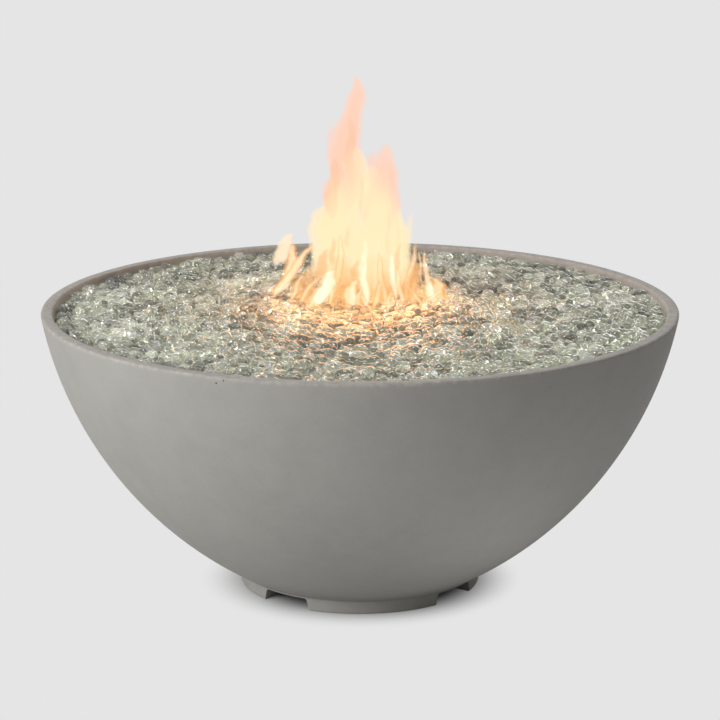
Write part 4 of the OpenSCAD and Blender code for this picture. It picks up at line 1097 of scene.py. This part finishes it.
# Tongues of the flame: place across the picture at the foot and at the tip, place towards the camera,
# heights of the foot and the tip over the burner, width (all in mm) and kind
TONGUES = (
    (-21, -4, -80, 162, 398, 54, "tip"),
    (-15, -7, -78, 241, 402, 26, "tip"),
    (-14, -17, -68, 206, 333, 20, "ember"),
    (-36, -47, -84, 150, 318, 30, "tip"),
    (-33, -34, -86, 150, 312, 34, "tip"),
    (40, 42, -84, 103, 284, 50, "tip"),
    (24, 20, -82, 117, 270, 40, "tip"),
    (32, 31, -85, 117, 270, 34, "tip"),
    (52, 52, -83, 110, 256, 30, "tip"),
    (-54, -55, -82, 127, 224, 26, "tip"),
    (-26, -27, -82, 150, 316, 28, "tip"),
    (2, 2, -62, 160, 236, 9, "ember"),
    (-22, -21, -44, 106, 150, 11, "ember"),
    (46, 49, -62, 92, 172, 9, "ember"),
    (62, 64, -70, 96, 156, 8, "ember"),
    (-46, -44, -66, 150, 262, 26, "ember"),
    (-13, -13, -78, 22, 285, 72, "body"),
    (-40, -40, -80, 28, 240, 62, "body"),
    (20, 18, -76, 20, 248, 66, "body"),
    (44, 42, -80, 22, 240, 58, "body"),
    (-66, -68, -80, 40, 176, 48, "body"),
    (-52, -50, -70, 34, 204, 50, "body"),
    (64, 62, -82, 26, 186, 38, "body"),
    (77, 87, -84, 30, 164, 22, "body"),
    (70, 72, -76, 28, 158, 30, "body"),
    (24, 26, -58, 40, 200, 40, "body"),
    (12, 16, -56, 30, 170, 34, "body"),
    (-74, -76, -66, 80, 164, 18, "pale"),
    (10, 8, -56, 7, 128, 24, "hot"),
    (22, 34, -60, 22, 128, 16, "hot"),
    (12, 6, -44, 6, 102, 15, "hot"),
    (62, 50, -50, 18, 104, 15, "hot"),
    (-72, -46, -48, 6, 74, 40, "hot"),
    (-20, -8, -40, 2, 58, 36, "low"),
    (-16, -12, -38, 0, 50, 20, "hot"),
    (-125, -114, -105, 32, 108, 26, "low"),
    (-144, -117, -106, 66, 124, 30, "pale"),
    (-132, -122, -104, 68, 122, 22, "pale"),
    (-40, -33, -36, 8, 60, 17, "gap"),
    (-13, -4, -38, 50, 92, 13, "gap"),
    (38, 34, -36, 10, 56, 9, "gap"),
    (-73, -55, -46, 50, 108, 22, "gap"),
    (82, 96, -54, 14, 84, 26, "gap"),
    (-92, -76, -44, 10, 56, 15, "gap"),
    (60, 68, -50, 60, 118, 11, "gap"),
    (-48, -44, -50, 76, 128, 12, "gap"),
    (-148, -76, -85, 12, 110, 25, "low"),
    (-144, -112, -88, 18, 56, 22, "hot"),
    (-118, -96, -74, 8, 60, 12, "low"),
    (-104, -60, -62, 6, 66, 14, "low"),
    (-88, -62, -44, 0, 40, 14, "low"),
    (-52, -44, -42, 2, 78, 12, "low"),
    (-36, -34, -56, 40, 132, 16, "low"),
    (-4, 2, -36, 0, 46, 13, "low"),
    (22, 40, -42, 2, 62, 16, "low"),
    (44, 30, -46, 4, 104, 15, "low"),
    (72, 60, -52, 8, 78, 14, "low"),
    (78, 94, -62, 12, 116, 16, "low"),
    (112, 70, -58, 0, 50, 12, "low"),
    (104, 142, -66, 0, 36, 14, "low"),
    (116, 110, -96, 2, 95, 15, "low"),
    (104, 100, -86, 40, 99, 8, "low"),
    (138, 128, -104, 0, 46, 36, "low"),
    (126, 118, -88, 0, 44, 24, "hot"),
    (90, 92, -70, 2, 54, 15, "low"),
    (12, 2, -32, 0, 34, 14, "low"),
    (46, 54, -34, 0, 40, 12, "low"),
    (-96, -80, -80, 0, 76, 58, "haze"),
    (-40, -36, -60, 0, 96, 76, "haze"),
    (26, 24, -56, 0, 100, 80, "haze"),
    (92, 86, -72, 0, 80, 60, "haze"),
    (130, 124, -96, 0, 44, 40, "haze"),
)
# Shells of each kind, from the outside in: share of the width, share of the length and gas
SHELLS = {
    "tip": ((1.0, 1.0, "peach"), (0.72, 0.94, "peach")),
    "ember": ((1.0, 1.0, "ember"),),
    "body": ((1.0, 1.0, "cream"), (0.66, 0.92, "cream")),
    "hot": ((1.0, 1.0, "cream"), (0.66, 0.92, "white")),
    "low": ((1.0, 1.0, "orange"), (0.58, 0.92, "white")),
    "pale": ((1.0, 1.0, "cream"), (0.84, 0.94, "milk")),
    "gap": ((1.0, 1.0, "amber"),),
    "haze": ((1.0, 1.0, "haze"), (0.7, 0.9, "haze")),
}
# Colour that each gas reaches where it is thick, and how dense it is, per metre
GASES = {
    "peach": ((1.06, 0.66, 0.50), 42.0),
    "ember": ((1.10, 0.50, 0.28), 36.0),
    "cream": ((1.10, 0.88, 0.54), 38.0),
    "orange": ((1.12, 0.54, 0.17), 70.0),
    "white": ((1.50, 1.38, 1.10), 95.0),
    "milk": ((1.10, 0.86, 0.66), 80.0),
    "amber": ((0.92, 0.46, 0.17), 60.0),
    "haze": ((1.12, 0.56, 0.20), 12.0),
}


def burning_gas(kind):
    """Burning gas: it glows all through and hides a little of what is behind it."""
    colour, density = GASES[kind]
    material, tree, output = new_material("burning_gas_" + kind)
    glow = add_node(tree, "ShaderNodeEmission", Color=(*colour, 1), Strength=density)
    veil = add_node(tree, "ShaderNodeVolumeAbsorption", Color=(0, 0, 0, 1), Density=density)
    both = add_node(tree, "ShaderNodeAddShader", {0: (glow, 0), 1: (veil, 0)})
    tree.links.new(both.outputs[0], output.inputs["Volume"])
    return material


def straight_tongue(rings=26, sides=14):
    """One upright tongue of unit height and width: pointed at its foot, full low down, drawn out to a tip."""
    clear_selection()
    bpy.ops.mesh.primitive_circle_add(vertices=sides, radius=1, fill_type="NGON")
    tongue = named("straight_tongue")

    def fullness(t):
        return math.sin(min((t + 0.01) / 0.34, 1) * math.pi / 2) ** 0.8 * (1 - t ** 2.4) ** 0.5 / 2

    edit_all()
    size = fullness(0)
    bpy.ops.transform.resize(value=(size, size, 1))
    for ring in range(1, rings):
        wanted = fullness(ring / rings)
        bpy.ops.mesh.extrude_region_move(TRANSFORM_OT_translate={"value": (0, 0, 1 / rings)})
        bpy.ops.transform.resize(value=(wanted / size, wanted / size, 1))
        size = wanted
    bpy.ops.mesh.extrude_region_move(TRANSFORM_OT_translate={"value": (0, 0, 1 / rings)})
    bpy.ops.mesh.merge(type="CENTER")
    leave_edit()
    tidy_mesh(tongue)
    bpy.ops.object.shade_smooth()
    return tongue


class FIREBOWL_OT_flame(bpy.types.Operator):
    """Light the flame of the picture, which is no part of the bowl"""

    bl_idname = "firebowl.flame"
    bl_label = "Flame"

    def execute(self, context):
        view = settings().stage
        right = Vector((math.cos(view.camera_turn), math.sin(view.camera_turn), 0))
        near = Vector((right.y, -right.x, 0))
        draws = np.random.default_rng(11)
        gases = {kind: burning_gas(kind) for kind in GASES}
        first = straight_tongue()
        for foot, tip, towards, low, high, width, kind in TONGUES:
            phase, speed = draws.uniform(0, TURN), draws.uniform(0.7, 1.5)
            bend = width * 0.10 + (high - low) * 0.015
            for wide, tall, gas in SHELLS[kind]:
                select_only(first)
                bpy.ops.object.duplicate()
                tongue = named("flame_tongue")
                for vertex in tongue.data.vertices:
                    x, y, t = vertex.co
                    up = (1 - tall) * 0.4 + t * tall
                    wave = math.sin(phase + speed * up * TURN) * bend * math.sin(math.pi * min(up, 1))
                    ripple = math.sin(phase * 3 + up * 27 + 5 * x) * width * 0.05 * up
                    across = foot + (tip - foot) * up ** 1.2 + x * width * wide + wave + ripple
                    depth = towards - y * width * wide * 0.8 + wave * 0.5
                    rise = BURNER_LEVEL + low + (high - low) * up
                    vertex.co = (right * across + near * depth + Vector((0, 0, rise))) / 1000
                tongue.data.materials.append(gases[gas])
                tongue.visible_diffuse = False
                tongue.visible_shadow = False
        bpy.data.objects.remove(first)
        # Lamps in the flame light the glass round it
        for across in (-0.09, 0.0, 0.09):
            place = right * across - near * 0.06 + Vector((0, 0, 0.50))
            add_lamp("flame_glow", "POINT", place, (0, 0, 0), 0.3, 0.04, hex_colour("#ffbe88"))
        over = Vector((0, 0, 0.55)) - near * 0.03
        add_lamp("flame_light", "AREA", over, over - Vector((0, 0, 1)), 1.25, 0.24, hex_colour("#ff9c42"))
        return {"FINISHED"}


class FIREBOWL_PT_panel(bpy.types.Panel):
    """Lists the fire bowl's settings and steps"""

    bl_idname = "FIREBOWL_PT_panel"
    bl_label = "Fire bowl"
    bl_space_type = "VIEW_3D"
    bl_region_type = "UI"
    bl_category = "Fire bowl"

    def draw(self, context):
        layout = self.layout
        for part in FireBowlSettings.__annotations__:
            group = getattr(settings(), part)
            box = layout.box()
            for key in group.__annotations__:
                box.prop(group, key)
        for step in STEPS:
            layout.operator(step.bl_idname)


STEPS = (
    FIREBOWL_OT_stage,
    FIREBOWL_OT_flame,
    FIREBOWL_OT_cast_bowl,
    FIREBOWL_OT_glass_bed,
    FIREBOWL_OT_glass_gems,
    FIREBOWL_OT_gas_works,
    FIREBOWL_OT_control_knob,
    FIREBOWL_OT_return_springs,
)
SIZES = (CastBowlSizes, GlassFillSizes, ControlSizes, FinishColours, StageSizes, FireBowlSettings)
CLASSES = (*SIZES, *STEPS, FIREBOWL_PT_panel)


def register():
    """Register the classes and put the settings on the scene."""
    for cls in CLASSES:
        bpy.utils.register_class(cls)
    bpy.types.Scene.fire_bowl = PointerProperty(type=FireBowlSettings)


def unregister():
    """Take the settings and the classes away again."""
    del bpy.types.Scene.fire_bowl
    for cls in reversed(CLASSES):
        bpy.utils.unregister_class(cls)


def main():
    """Run every step in order."""
    register()
    bpy.ops.firebowl.stage()
    bpy.ops.firebowl.flame()
    bpy.ops.firebowl.cast_bowl()
    bpy.ops.firebowl.glass_bed()
    bpy.ops.firebowl.glass_gems()
    bpy.ops.firebowl.gas_works()
    bpy.ops.firebowl.control_knob()
    bpy.ops.firebowl.return_springs()


if __name__ == "__main__":
    main()
